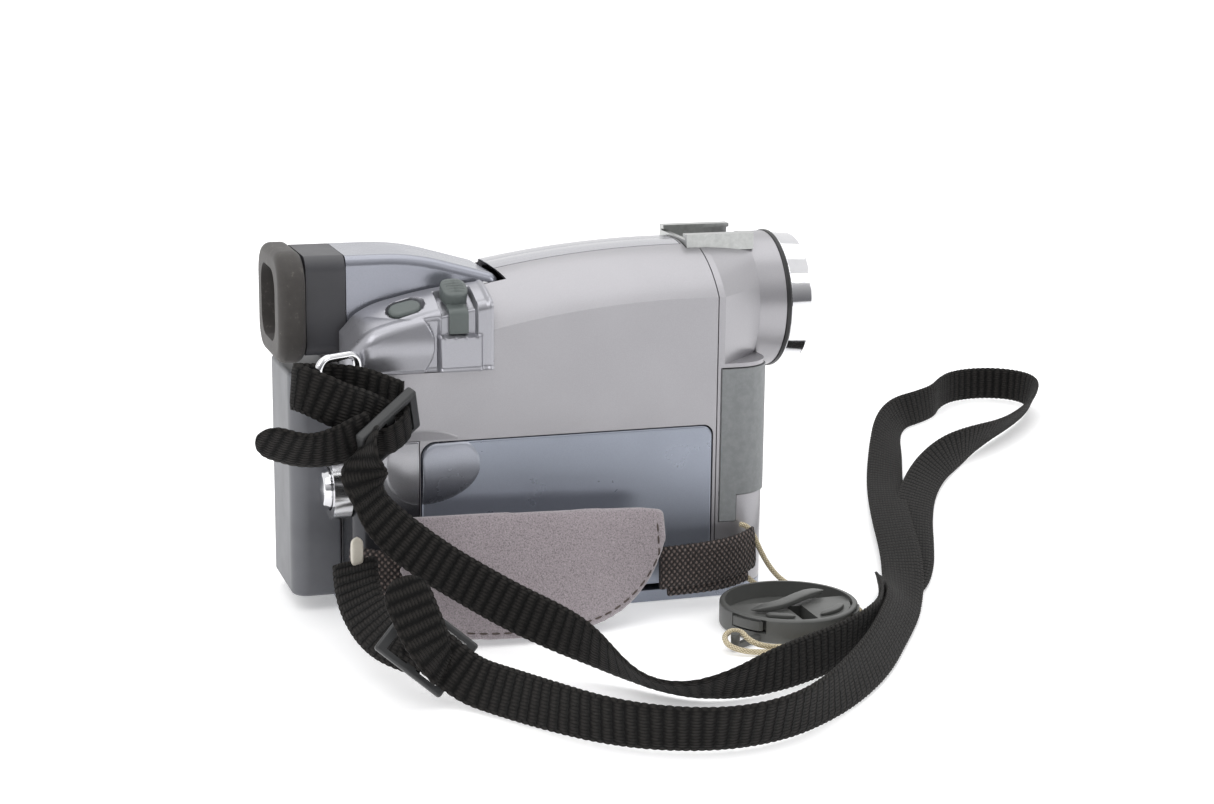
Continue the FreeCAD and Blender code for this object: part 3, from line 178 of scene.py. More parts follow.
def lacquer(name, colour, rough=0.32, metal=0.65, flake=0.05):
    """Metallic lacquer: fine flakes, faint cloudiness and light wear in the gloss."""
    m = Mat(name, colour, rough, metal, Coat_Weight=0.08, Coat_Roughness=0.3)
    fine = m.noise(3600, 1, 0.5)
    cloud = m.noise(38, 3, 0.5)
    both = m.math("ADD", m.math("MULTIPLY", fine, 0.6), m.math("MULTIPLY", cloud, 0.4))
    m.paint(both, (0.32, shade(colour, 1 - flake)), (0.68, shade(colour, 1 + flake)))
    m.rough_from(m.noise(90, 4, 0.6), rough - 0.05, rough + 0.07)
    return m.bump(fine, 0.05, 0.00002).mat


def plastic(name, colour, rough=0.45, grain=900, depth=0.00004, spread=0.12, **sockets):
    """Moulded plastic with a fine spark-eroded grain."""
    m = Mat(name, colour, rough, 0.0, **sockets)
    cloud = m.noise(60, 4, 0.6)
    m.paint(cloud, (0.3, shade(colour, 1 - spread)), (0.7, shade(colour, 1 + spread)))
    m.rough_from(m.noise(140, 3, 0.5), rough - 0.06, rough + 0.08)
    return m.bump(m.noise(grain, 2, 0.5), 0.35, depth).mat


def rubber(name, colour, dust, rough=0.72):
    """Soft rubber with handling dust and a fine matt skin."""
    m = Mat(name, colour, rough, 0.0, Sheen_Weight=0.12, Sheen_Roughness=0.5)
    spots = m.noise(420, 5, 0.7)
    m.paint(spots, (0.42, colour), (0.60, shade(colour, 1.15)), (0.78, dust))
    m.rough_from(m.noise(110, 4, 0.6), rough - 0.08, rough + 0.1)
    return m.bump(m.noise(2400, 3, 0.6), 0.4, 0.00005).mat


def metal(name, colour, rough=0.22, brushed=(1, 1, 40)):
    """Plain metal with fine brush lines."""
    m = Mat(name, colour, rough, 1.0)
    lines = m.noise(700, 3, 0.6, stretch=brushed)
    m.paint(lines, (0.3, shade(colour, 0.86)), (0.7, shade(colour, 1.08)))
    m.rough_from(lines, rough - 0.05, rough + 0.09)
    return m.bump(lines, 0.12, 0.00002).mat


def chrome(name, rough=0.05, tint=(0.76, 0.76, 0.78)):
    """Bright chrome with faint smears."""
    m = Mat(name, tint, rough, 1.0)
    smear = m.noise(55, 4, 0.6)
    m.paint(smear, (0.35, shade(tint, 0.93)), (0.7, shade(tint, 1.06)))
    return m.rough_from(smear, rough, rough + 0.06).mat


def glass(name, colour, **sockets):
    m = Mat(name, colour, 0.03, 0.0, Coat_Weight=1.0, Coat_Roughness=0.02, **sockets)
    smear = m.noise(60, 3, 0.5)
    return m.rough_from(smear, 0.02, 0.07).mat


def weave(name, dark, light, across, along, depth, sheen=0.35, fuzz=0.2):
    """Woven webbing: threads in mm across and along, read from the strip's own millimetre map, with painted
    glints on the raised threads and painted shade in the dips between them.
    """
    m = Mat(name, dark, 0.8, 0.0, Sheen_Weight=sheen, Sheen_Roughness=0.45)
    u = m.axis("X", "UV")
    v = m.axis("Y", "UV")

    def bell(value, pitch, phase):
        wave = m.math("SINE", m.math("MULTIPLY_ADD", value, math.pi / pitch, phase))
        return m.math("MULTIPLY", wave, wave)

    first = m.math("MULTIPLY", bell(u, across, 0.0), bell(v, along, 0.0))
    second = m.math("MULTIPLY", bell(u, across, math.pi / 2), bell(v, along, math.pi / 2))
    height = m.math("MAXIMUM", first, second)
    strand = m.noise(6.0, 4, 0.7, m.coords("UV"), (1, 7, 1))
    height = m.math("ADD", height, m.math("MULTIPLY", strand, fuzz))
    # Painted highlight and shade: raised threads are coloured towards the pale glint tone, the dips between
    # them darker.
    painted_glint_and_shade = m.math("MULTIPLY", height, m.math("ADD", m.noise(1.1, 3, 0.6, m.coords("UV")), 0.35))
    m.paint(painted_glint_and_shade, (0.12, shade(dark, 0.55)), (0.45, dark), (0.92, light))
    m.rough_from(strand, 0.68, 0.9)
    return m.bump(height, 0.9, depth).mat


def ribbed(name, dark, light, rib, warp, half, depth):
    """Ribbed webbing: swelling ribs across, warp lines along in staggered lanes and a paler beaded edge, with
    painted glints on the raised ribs and threads and painted shade in the dips.
    """
    m = Mat(name, dark, 0.85, 0.0, Specular_IOR_Level=0.18, Sheen_Weight=0.03, Sheen_Roughness=0.5)
    u = m.axis("X", "UV")
    v = m.axis("Y", "UV")
    lane = m.math("FLOOR", m.math("DIVIDE", u, warp))
    shift = m.math("MULTIPLY", m.math("FLOORED_MODULO", lane, 2.0), rib * 0.05)
    swell = m.math("SINE", m.math("MULTIPLY_ADD", m.math("ADD", v, shift), math.pi / rib, math.pi / 2))
    swell = m.math("ABSOLUTE", swell)
    line = m.math("POWER", m.math("ABSOLUTE", m.math("SINE", m.math("MULTIPLY", u, math.pi / warp))), 0.6)
    strand = m.noise(5.0, 4, 0.7, m.coords("UV"), (2, 1, 1))
    body = m.math("MULTIPLY", swell, m.math("MULTIPLY_ADD", line, 0.62, 0.38))
    offset = m.math("MINIMUM", m.math("ABSOLUTE", u), m.math("ABSOLUTE", m.math("SUBTRACT", u, BACK_MAP)))
    inward = m.math("MAXIMUM", 0.0, m.math("MULTIPLY_ADD", offset, 1.6, (1.0 - half) * 1.6))
    edge = m.math("SMOOTH_MIN", 1.0, inward, 0.1)
    bead = m.math("ABSOLUTE", m.math("SINE", m.math("MULTIPLY", v, math.pi / BEAD)))
    middle = m.math("MULTIPLY", body, m.math("SUBTRACT", 1.0, edge))
    height = m.math("ADD", middle, m.math("MULTIPLY", bead, edge))
    height = m.math("ADD", height, m.math("MULTIPLY", strand, 0.16))
    # Painted highlight and shade: raised ribs and warp lines are coloured towards the pale glint tone, the
    # dips between them darker.
    painted_glint_and_shade = m.math("MULTIPLY", height, m.math("ADD", m.noise(0.9, 3, 0.6, m.coords("UV")), 0.45))
    tone = m.ramp(painted_glint_and_shade, (0.10, shade(dark, 0.25)), (0.48, dark), (0.95, light))
    m.colour_from(m.mix(m.math("MULTIPLY", edge, 0.22), tone, shade(light, 1.5)))
    m.rough_from(strand, 0.7, 0.92)
    return m.bump(height, 0.95, depth).mat


def shade_painted_lacquer(name, low, high, foot, head, rough):
    """Metallic lacquer with painted shade, fading from one tone at the foot to another at the head, heights
    in metres.
    """
    m = Mat(name, high, rough, 0.5, Coat_Weight=0.08, Coat_Roughness=0.3)
    # Painted shade: the colour follows height, darker towards the foot where the surface turns down away from
    # the light.
    share = m.math("DIVIDE", m.math("SUBTRACT", m.axis("Z"), foot), head - foot)
    flakes = m.math("MULTIPLY", m.math("SUBTRACT", m.noise(5200, 2, 0.6), 0.5), 0.25)
    middle = tuple((a + b) / 2 for a, b in zip(low, high))
    m.paint(m.math("ADD", share, flakes), (0.0, low), (0.55, middle), (1.0, high))
    m.rough_from(m.noise(90, 4, 0.6), rough - 0.05, rough + 0.07)
    return m.bump(m.noise(3600, 1, 0.5), 0.05, 0.00002).mat


def suede(name, colour):
    """Napped suede: soft cloudy nap with dark and pale specks."""
    m = Mat(name, colour, 0.92, 0.0, Sheen_Weight=0.55, Sheen_Roughness=0.6)
    cloud = m.noise(75, 5, 0.65)
    speck = m.noise(2500, 3, 0.7)
    base = m.ramp(cloud, (0.3, shade(colour, 0.86)), (0.7, shade(colour, 1.12)))
    spot = m.ramp(speck, (0.40, shade(colour, 0.35)), (0.47, colour), (0.56, colour),
                  (0.66, shade(colour, 1.55)))
    m.colour_from(m.mix(0.62, base, spot))
    return m.bump(speck, 0.55, 0.00018).bump(cloud, 0.2, 0.0004).mat


M = {
    "silver": lacquer("silver_lacquer", (0.375, 0.368, 0.387)),
    "bright": lacquer("bright_lacquer", (0.46, 0.46, 0.49), 0.2),
    "finder": lacquer("finder_lacquer", (0.30, 0.31, 0.355), 0.24),
    "bluegray": lacquer("blue_gray_lacquer", (0.30, 0.325, 0.385), 0.28),
    "deck": lacquer("polished_deck", (0.37, 0.37, 0.40), 0.28, 0.7),
    # Painted shade: the dial housing's lacquer darkens towards its foot, standing in for the shade on its
    # downward-turned side.
    "dial_house": shade_painted_lacquer("dial_housing_lacquer_painted_shade", (0.045, 0.046, 0.052), (0.60, 0.60, 0.63), 0.031, 0.0495,
                         0.25),
    # Painted shade: the bulge's lacquer darkens towards its foot, standing in for the shade under the
    # swelling.
    "bulge": shade_painted_lacquer("bulge_lacquer_painted_shade", (0.035, 0.038, 0.05), (0.46, 0.48, 0.54), 0.032, 0.049, 0.26),
    "battery": plastic("battery_plastic", (0.115, 0.118, 0.13), 0.42, 1400),
    "charcoal": plastic("charcoal_plastic", (0.020, 0.020, 0.022), 0.48, 1600),
    "black": plastic("black_plastic", (0.012, 0.012, 0.013), 0.38, 1600),
    "controls": plastic("control_plastic", (0.105, 0.122, 0.118), 0.42, 2200),
    "cap": plastic("cap_plastic", (0.088, 0.090, 0.086), 0.40, 1300),
    "slider": plastic("slider_plastic", (0.030, 0.031, 0.032), 0.42, 1500),
    "white": plastic("white_plastic", (0.62, 0.62, 0.60), 0.4, 1200, spread=0.05),
    "eyecup": rubber("eyecup_rubber", (0.042, 0.038, 0.035), (0.15, 0.138, 0.122)),
    "collar": plastic("collar_plastic", (0.048, 0.048, 0.054), 0.45, 1600),
    "flap": rubber("flap_rubber", (0.20, 0.21, 0.215), (0.26, 0.26, 0.26), 0.6),
    "roller": rubber("roller_rubber", (0.012, 0.012, 0.012), (0.03, 0.03, 0.03)),
    "chrome": chrome("bright_chrome"),
    "satin": chrome("satin_chrome", 0.16, (0.80, 0.80, 0.82)),
    "shoe": metal("shoe_metal", (0.50, 0.51, 0.50), 0.3, (1, 30, 1)),
    "steel": metal("steel", (0.55, 0.55, 0.56), 0.25),
    "drum": metal("drum_metal", (0.72, 0.72, 0.74), 0.12, (1, 40, 1)),
    "lens": glass("lens_glass", (0.012, 0.014, 0.022), Specular_Tint=(0.55, 0.6, 1.0, 1)),
    "screen": glass("screen_glass", (0.008, 0.008, 0.01)),
    "board": plastic("board_green", (0.015, 0.11, 0.045), 0.3, 300, 0.0002),
    "webbing": ribbed("black_webbing", (0.0048, 0.0044, 0.0042), (0.021, 0.019, 0.0175), 3.0, 0.85, 6.0,
                      0.0006),
    "brown": weave("brown_webbing", (0.020, 0.013, 0.012), (0.19, 0.145, 0.13), 1.9, 1.6, 0.0008, 0.06),
    "pearl": lacquer("pearl_plastic", (0.62, 0.58, 0.50), 0.25, 0.1),
    "braid": weave("cream_braid", (0.52, 0.43, 0.27), (0.86, 0.79, 0.60), 0.7, 0.8, 0.00012, 0.3, 0.1),
    "suede": suede("mauve_suede", (0.285, 0.245, 0.262)),
    "thread": plastic("brown_thread", (0.075, 0.058, 0.052), 0.8, 4000, 0.00008),
}


# ------------------------------------------------------------------ mesh helpers

def piece(name, verts, faces, mat, smooth=True):
    """New object from vertices in metres."""
    mesh = bpy.data.meshes.new(name)
    mesh.from_pydata([tuple(v) for v in verts], [], faces)
    mesh.validate()
    obj = bpy.data.objects.new(name, mesh)
    bpy.context.collection.objects.link(obj)
    mesh.materials.append(mat)
    if smooth:
        for poly in mesh.polygons:
            poly.use_smooth = True
    return obj


def ring_faces(rings, around, first=0):
    """Quads that join rings of points, one ring after another."""
    quads = []
    for i in range(first, first + (rings - 1) * around, around):
        for k in range(around):
            n = (k + 1) % around
            quads.append((i + k, i + n, i + around + n, i + around + k))
    return quads


def spline(rows, steps=16):
    """Points along a NURBS curve of order 3 whose control points are the rows."""
    curve = bpy.data.curves.new("route", "CURVE")
    curve.dimensions = "3D"
    line = curve.splines.new("NURBS")
    line.points.add(len(rows) - 1)
    for point, row in zip(line.points, rows):
        point.co = (*row, 1)
    line.order_u = 3
    line.use_endpoint_u = True
    line.resolution_u = steps
    obj = bpy.data.objects.new("route", curve)
    bpy.context.collection.objects.link(obj)
    bpy.context.view_layer.update()
    mesh = bpy.data.meshes.new_from_object(obj.evaluated_get(bpy.context.evaluated_depsgraph_get()))
    points = [v.co.copy() for v in mesh.vertices]
    bpy.data.meshes.remove(mesh)
    bpy.data.objects.remove(obj)
    bpy.data.curves.remove(curve)
    return points


def resample(points, extra, pitch):
    """Evenly spaced points along a polyline, with a second list carried along."""
    out, carried = [points[0]], [extra[0]]
    travelled, want = 0.0, pitch
    for i in range(1, len(points)):
        leg = (points[i] - points[i - 1]).length
        while leg > 0 and travelled + leg >= want:
            share = (want - travelled) / leg
            out.append(points[i - 1].lerp(points[i], share))
            carried.append(extra[i - 1].lerp(extra[i], share))
            want += pitch
        travelled += leg
    if (out[-1] - points[-1]).length > pitch * 0.3:
        out.append(points[-1])
        carried.append(extra[-1])
    return out, carried


def strip(name, stops, width, thick, mat, pitch=0.38, rib=3.0, round_tip=False, relief=0.24,
          across=None):
    """Webbing along a route, with swelling ribs, scalloped edges and a map in millimetres.

    Stops are x, y, height of the lower edge and lean, in millimetres and degrees. With a direction given
    for across, they are points of the centre line instead, and the lean is left out.
    """
    rows = []
    if across:
        rows = [tuple(stop) for stop in stops]
        stops = [(*stop, 0.0) for stop in stops]
    else:
        for x, y, low, lean in stops:
            turn = math.radians(lean)
            rows.append((x, y, low + width / 2 * abs(math.cos(turn)) + 0.7 * abs(math.sin(turn))))
    line = spline(rows)
    leans = spline([(stop[3], 0, 0) for stop in stops])
    line, leans = resample(line, leans, pitch)
    profile = []
    half_turns = 7
    for side in (1, -1):
        for i in range(half_turns):
            share = i / (half_turns - 1) * 2 - 1
            profile.append((-side * share, side, i in (0, half_turns - 1)))
    verts, faces, rings = [], [], []
    total = pitch * (len(line) - 1)
    runs, wides = [], []
    for i in range(len(line)):
        runs.append((line[min(i + 1, len(line) - 1)] - line[max(i - 1, 0)]).normalized())
        up = (V((0, 0, 1)) - runs[i] * runs[i].z).normalized()
        turn = math.radians(leans[i].x)
        wides.append(across or up * math.cos(turn) + up.cross(runs[i]) * math.sin(turn))
    for _ in range(0 if across else 3):
        wides = [sum(wides[max(0, i - 9):i + 10], V()).normalized() for i in range(len(wides))]
    for i, here in enumerate(line):
        run = runs[i]
        wide = across or (wides[i] - run * wides[i].dot(run)).normalized()
        flat = wide.cross(run).normalized()
        travel = i * pitch
        swell = 0.5 + 0.5 * math.cos(2 * math.pi * travel / rib)
        half = width / 2 - 0.22 * (1 - abs(math.sin(math.pi * travel / BEAD)))
        left = total - travel
        if round_tip and left < width / 2:
            half *= math.sqrt(max(0.02, 1 - ((width / 2 - left) / (width / 2)) ** 2))
        ring = []
        for share, side, edge in profile:
            depth = thick / 2 * (0.45 if edge else 1.0) * (1 - relief * (1 - swell))
            spot = here + wide * (share * half) + flat * (side * depth)
            ring.append(len(verts))
            verts.append(spot * MM)
        rings.append((ring, travel, half))
    count = len(profile)
    for (low, _, _), (high, _, _) in zip(rings, rings[1:]):
        for k in range(count):
            n = (k + 1) % count
            faces.append((low[k], low[n], high[n], high[k]))
    faces.append(tuple(reversed(rings[0][0])))
    faces.append(tuple(rings[-1][0]))
    obj = piece(name, verts, faces, mat, True)
    chart = obj.data.uv_layers.new(name="mm")
    travel_of = {}
    for ring, travel, half in rings:
        for k, index in enumerate(ring):
            travel_of[index] = (profile[k][0] * half + (0.0 if profile[k][1] > 0 else BACK_MAP), travel)
    for loop in obj.data.loops:
        chart.data[loop.index].uv = travel_of[loop.vertex_index]
    return obj, line


# ------------------------------------------------------------------ straps and cords
# Each stop is x, y, height of the webbing's lower edge, and lean from upright, positive to the left.
STRAP_ROUTE = [
    (-56.9, -87.5, 11.4, 30), (-52.6, -89.7, 7.9, 30), (-48.4, -92, 4.2, 30), (-44, -96.5, 1, 27),
    (-39, -103, 0.3, 24), (-31, -117, 0.3, 10), (-21, -131, 0.3, -6), (-8.5, -140, 0.3, -14),
    (6, -143.5, 0.3, -18), (21, -140, 0.3, -12), (35, -130, 0.3, 2), (48, -117, 0.3, 20), (61, -101, 0.3, 30),
    (73, -83, 0.3, 32), (84, -65, 0.3, 44), (91, -50, 0.6, 64), (98, -35, 1.9, 84), (105, -19, 1.9, 96),
    (112, -1, 1.9, 98), (119, 18, 1.9, 97), (130, 46, 1.7, 94), (142, 74, 0.4, 86), (157, 106, 0.3, 70),
    (169, 131, 0.3, 46), (180, 146, 0.3, 26), (191, 152, 0.3, 14), (201, 160, 0.3, 6), (209, 172, 0.3, 0),
    (219, 182, 0.3, 2), (232, 185, 0.3, 4), (243, 180, 0.3, 0), (246, 168, 0.3, 8), (239, 153, 0.3, 24),
    (223, 133, 0.3, 34), (202, 112, 0.3, 36), (184, 96, 0.3, 10), (170, 85, 0.3, -34), (157, 72, 0.3, -62),
    (143, 51, 0.3, -76), (130, 26, 0.3, -82), (119, 2, 0.3, -88), (109, -19, 0.3, -90), (99, -36, 0.3, -86),
    (90, -46, 0.3, -62), (83, -55, 0.3, -26), (77, -66, 0.3, 4), (69.5, -79, 0.3, 8), (60, -89, 0.3, 4),
    (50, -97, 0.3, -4), (38, -104, 0.3, -6), (26, -110, 0.3, 8), (15, -113, 0.3, 38), (6, -111, 0.3, 58),
    (-1, -104, 0.3, 56), (-6, -95, 1.2, 34), (-12, -86, 4.0, 8), (-19, -78, 6.8, -14), (-27, -71, 10.2, -20),
    (-35, -65, 14.4, -14), (-43, -59, 19.0, -12), (-51, -53.5, 25.4, -34), (-58.3, -51, 34, -46),
    (-60.5, -51.8, 42, -34), (-60, -50, 49.5, -30), (-56.5, -45.4, 53.5, -50),
]

# Loop of webbing from the upper slider round the strap ring and back, and its free tail.
UPPER_LOOP = [
    (-52.5, -40.5, 52.5, -22), (-58, -41.6, 55.6, -16), (-64, -42.2, 57.6, -6), (-70, -41.2, 60.8, 0),
    (-74.6, -38.2, 62.4, 0), (-75.4, -34.4, 62.0, 0), (-71.5, -31.6, 61.2, 0), (-64.5, -30.9, 60.6, 0),
    (-58, -31.8, 60.0, 0), (-52.5, -34.4, 58.6, -8), (-47.5, -38.5, 57.2, -16),
]
UPPER_TAIL = [
    (-56.5, -44.2, 51.2, 4), (-60.2, -44.8, 50, 10), (-65.3, -45.2, 48.4, 20), (-73.2, -46, 48, 34),
    (-80.2, -46.4, 50.2, 38), (-86.4, -46, 52.6, 34),
]

# Loop of webbing from the rear end of the hand strap to the lower slider, and its free tail.
LOWER_LOOP = [
    (-61.2, -43, 20.7, 78), (-62.6, -50.5, 15.7, 68), (-62.6, -61.5, 10.6, 56), (-60.6, -73, 7.2, 46),
    (-56.4, -83, 6.2, 34), (-52.6, -84.6, 5, 30),
]
LOWER_TAIL = [
    (-50.4, -94.2, 5.5, -50), (-52.6, -94.6, 8.6, -50), (-55, -92.8, 14.1, -50), (-57.4, -90.3, 20.6, -50),
    (-59.4, -87.8, 27, -50),
]

# Webbing wrapped round the upper slider's middle bar: distance along the travel and out of the slider's face.
SLIDER_WRAP = [(-4.4, -2.4), (-4.2, 0.2), (-2.6, 2.4), (0.5, 3.0), (4, 2.9), (6.3, 1.6), (6.4, -0.8),
               (5, -2.4)]

# Each slider's centre, the way its webbing runs, and the way the webbing's width lies.
SLIDERS = [("upper", V((-51.6, -41, 56.4)), V((0.78, 0.33, 0.53)), V((-0.23, -0.65, 0.73))),
           ("lower", V((-53.0, -87.0, 13.0)), V((0.72, -0.37, -0.585)), V((0.62, 0.25, 0.74)))]

# Lens-cap cord: from the hand strap round the cap to its lug, and back beside itself.
CAP_CORD = [
    (50.2, -29.6, 20.6), (52.4, -31.2, 20.9), (56.2, -32.8, 11.2), (60.4, -35.2, 5.2), (66, -39.4, 2.7),
    (70.6, -44.4, 2.6), (73.6, -51, 2.6), (74.3, -58, 2.6), (72.8, -65, 2.6), (69, -71.2, 2.5),
    (63, -76.2, 1.9), (55, -79.2, 1.2), (46.5, -80.4, 0.85), (39, -80.4, 0.85), (33.4, -79.2, 1.1),
    (29.6, -76.4, 2.0), (29.4, -72.8, 3.4), (32, -70.9, 4.4), (34.6, -72.6, 4.4), (35.0, -75.6, 3.3),
    (37.6, -77.9, 2.0), (43, -78.2, 1.1), (50, -77.4, 0.85), (58, -76.9, 0.85), (65.2, -74, 0.85),
    (70.8, -68.6, 0.85), (74, -61.4, 0.85), (74, -53.4, 0.85), (70.4, -45.4, 0.85), (64.6, -39.6, 0.85),
    (58.6, -35.6, 1.4), (54.4, -33.2, 3.4), (51.5, -31.2, 6.2),
]
WIDTH, THICK = 12.0, 1.4


def tube(name, rows, radius, mat, pitch=0.35, sides=12):
    """Round cord along a route with a map in millimetres."""
    line = spline(rows)
    line, _ = resample(line, line, pitch)
    verts = []
    up = V((0, 0, 1))
    for i, here in enumerate(line):
        run = (line[min(i + 1, len(line) - 1)] - line[max(i - 1, 0)]).normalized()
        up = (up - run * up.dot(run)).normalized()
        side = run.cross(up)
        for k in range(sides):
            angle = 2 * math.pi * k / sides
            swell = 1 + 0.05 * math.cos(2 * math.pi * i * pitch / 0.8 + (k % 2) * math.pi)
            verts.append((here + (up * math.cos(angle) + side * math.sin(angle)) * radius * swell) * MM)
    faces = ring_faces(len(line), sides)
    faces.append(tuple(range(sides - 1, -1, -1)))
    faces.append(tuple((len(line) - 1) * sides + k for k in range(sides)))
    obj = piece(name, verts, faces, mat, True)
    chart = obj.data.uv_layers.new(name="mm")
    for poly in obj.data.polygons:
        for index in poly.loop_indices:
            vertex = obj.data.loops[index].vertex_index
            around = vertex % sides
            if poly.index < (len(line) - 1) * sides and poly.index % sides == sides - 1 and around == 0:
                around = sides
            chart.data[index].uv = (around / sides * 2 * math.pi * radius, vertex // sides * pitch)
    return obj, line


def make_straps():
    """Neck strap with its looped ends, and the lens-cap cord."""
    strap, line = strip("neck_strap_webbing", STRAP_ROUTE, WIDTH, THICK, M["webbing"],
                        round_tip=True)
    ends = []
    for name, route, tip in (("upper_loop", UPPER_LOOP, False), ("upper_tail", UPPER_TAIL, True),
                             ("lower_loop", LOWER_LOOP, False), ("lower_tail", LOWER_TAIL, True)):
        obj, _ = strip("strap_" + name, route, WIDTH, THICK, M["webbing"], round_tip=tip)
        ends.append(obj)
    for name, centre, travel, across in SLIDERS:
        normal = travel.cross(across)
        wrap = [centre + travel * a + normal.normalized() * b for a, b in SLIDER_WRAP]
        obj, _ = strip("strap_slider_wrap_" + name, wrap, WIDTH - 0.4, THICK, M["webbing"],
                       across=across)
        ends.append(obj)
    for obj in [strap] + ends:
        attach(obj, "camcorder")
    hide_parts("neck_strap")
    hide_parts("neck_strap_ends")
    cord, line = tube("cap_cord_braid", CAP_CORD, 0.75, M["braid"])
    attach(cord, "camcorder")
    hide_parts("cap_cord")


make_straps()


# ------------------------------------------------------------------ hand strap

def puff(obj, swell):
    """Cloth pass: the piece swells under inner pressure, and no point moves further than swell in metres."""
    scene = bpy.context.scene
    frames = 20
    remesh = obj.modifiers.new("remesh", "REMESH")
    remesh.mode = "VOXEL"
    remesh.voxel_size = 0.0009
    settle(obj)
    before = [v.co.copy() for v in obj.data.vertices]
    cloth = obj.modifiers.new("cloth", "CLOTH")
    cloth.settings.quality = 5
    cloth.settings.mass = 0.2
    cloth.settings.use_pressure = True
    cloth.settings.uniform_pressure_force = 4.0
    cloth.settings.effector_weights.gravity = 0.0
    cloth.point_cache.frame_start, cloth.point_cache.frame_end = 1, frames
    for frame_number in range(1, frames + 1):
        scene.frame_set(frame_number)
        bpy.context.view_layer.update()
    settle(obj)
    scene.frame_set(1)
    for vertex, start in zip(obj.data.vertices, before):
        move = vertex.co - start
        if move.length > swell:
            vertex.co = start + move.normalized() * swell
    work = bmesh.new()
    work.from_mesh(obj.data)
    bmesh.ops.smooth_vert(work, verts=work.verts, factor=0.4, use_axis_x=True, use_axis_y=True,
                          use_axis_z=True)
    work.to_mesh(obj.data)
    work.free()
    finer = obj.modifiers.new("finer", "SUBSURF")
    finer.levels = 1
    settle(obj)
    for poly in obj.data.polygons:
        poly.use_smooth = True


def settle(obj):
    """Apply the object's modifiers to its mesh."""
    graph = bpy.context.evaluated_depsgraph_get()
    mesh = bpy.data.meshes.new_from_object(obj.evaluated_get(graph))
    mats = list(obj.data.materials)
    obj.modifiers.clear()
    obj.data = mesh
    mesh.materials.clear()
    for mat in mats:
        mesh.materials.append(mat)


# The pad's stations: x, height of the top edge, height of the lower edge and its distance out, in mm.
PAD_OUTLINE = [(-50.0, 33.0, 3.0, 46.0), (-34.0, 33.0, 1.2, 52.0), (-16.0, 32.5, 0.8, 53.0),
               (-4.0, 32.1, 1.0, 51.5), (5.0, 31.8, 2.2, 48.5), (11.5, 31.4, 5.0, 46.4),
               (17.0, 31.0, 9.5, 44.6), (21.5, 30.5, 16.0, 43.0), (24.2, 29.4, 23.0, 41.6)]


def make_pad():
    """Suede pad of the hand strap: a crowned flap with a rolled edge and a dashed stitch line."""
    tops = spline([(x, -39.9, top) for x, top, low, out in PAD_OUTLINE], 8)
    lows = spline([(x, -out - 0.9, low) for x, top, low, out in PAD_OUTLINE], 8)
    rows, cols = 34, len(tops)

    def place(i, share, side):
        """Point of the skin in column i at a share of its height, on one side, with its normal."""
        depth = lows[i] - tops[i]
        out = depth.cross(V((1, 0, 0))).normalized()
        near = min(min(share, 1 - share) * depth.length, abs(tops[i].x - tops[0].x),
                   abs(tops[-1].x - tops[i].x))
        half = 1.35 * math.sqrt(max(0.0, min(1.0, near / 1.3))) + 0.35 * min(1.0, near / 9.0)
        half -= 0.3 * max(0.0, 1 - abs(near - 2.4) / 0.5)
        return tops[i].lerp(lows[i], share) + out * (side * half), out * side

    verts, faces, layers = [], [], []
    for side in (-1, 1):
        grid = []
        for i in range(cols):
            column = []
            for j in range(rows):
                column.append(len(verts))
                verts.append(place(i, j / (rows - 1), side)[0] * MM)
            grid.append(column)
        layers.append(grid)
    for side, grid in zip((-1, 1), layers):
        for i in range(cols - 1):
            for j in range(rows - 1):
                quad = (grid[i][j], grid[i + 1][j], grid[i + 1][j + 1], grid[i][j + 1])
                faces.append(quad if side < 0 else tuple(reversed(quad)))
    obj = piece("hand_strap_suede", verts, faces, M["suede"], True)
    work = bmesh.new()
    work.from_mesh(obj.data)
    bmesh.ops.remove_doubles(work, verts=work.verts, dist=0.00005)
    bmesh.ops.recalc_face_normals(work, faces=work.faces)
    work.to_mesh(obj.data)
    work.free()
    puff(obj, 0.0006)
    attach(obj, "camcorder")
    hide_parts("hand_strap_pad")
    stitches(obj, tops, lows)


def stitches(pad, tops, lows):
    """Dashed thread sunk along the pad's top right corner, rounded end and lower edge."""
    inset = 2.6
    route = []
    for i in range(4, len(tops)):
        depth = lows[i] - tops[i]
        if tops[-1].x - tops[i].x > inset:
            route.append(lows[i] - depth.normalized() * inset)
    last = [i for i in range(len(tops)) if tops[-1].x - tops[i].x > inset][-1]
    for share in (0.7, 0.45, 0.2, 0.08):
        route.append(tops[last].lerp(lows[last], share))
    line, _ = resample(route, route, 0.25)
    verts, faces = [], []
    around, dash, step = 6, 9, 13
    for start in range(0, len(line) - dash, step):
        first = len(verts)
        for i in range(start, start + dash + 1):
            share = (i - start) / dash
            spot = line[i] * MM
            hit, where, normal, _ = pad.ray_cast(spot + V((0, -0.02, 0)), V((0, 1, 0)))
            if not hit:
                break
            run = (line[min(i + 1, len(line) - 1)] - line[i - 1 if i else 0]).normalized()
            side = run.cross(normal).normalized()
            radius = 0.26 * math.sqrt(max(0.08, 1 - (2 * share - 1) ** 4)) * MM
            for k in range(around):
                angle = 2 * math.pi * k / around
                verts.append(where + (normal * math.cos(angle) + side * math.sin(angle)) * radius
                             + normal * 0.00006 * math.sin(math.pi * share))
        count = (len(verts) - first) // around
        faces += ring_faces(count, around, first)
        if count > 1:
            faces.append(tuple(first + k for k in reversed(range(around))))
            faces.append(tuple(first + (count - 1) * around + k for k in range(around)))
    obj = piece("hand_strap_stitches", verts, faces, M["thread"], True)
    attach(obj, "camcorder")


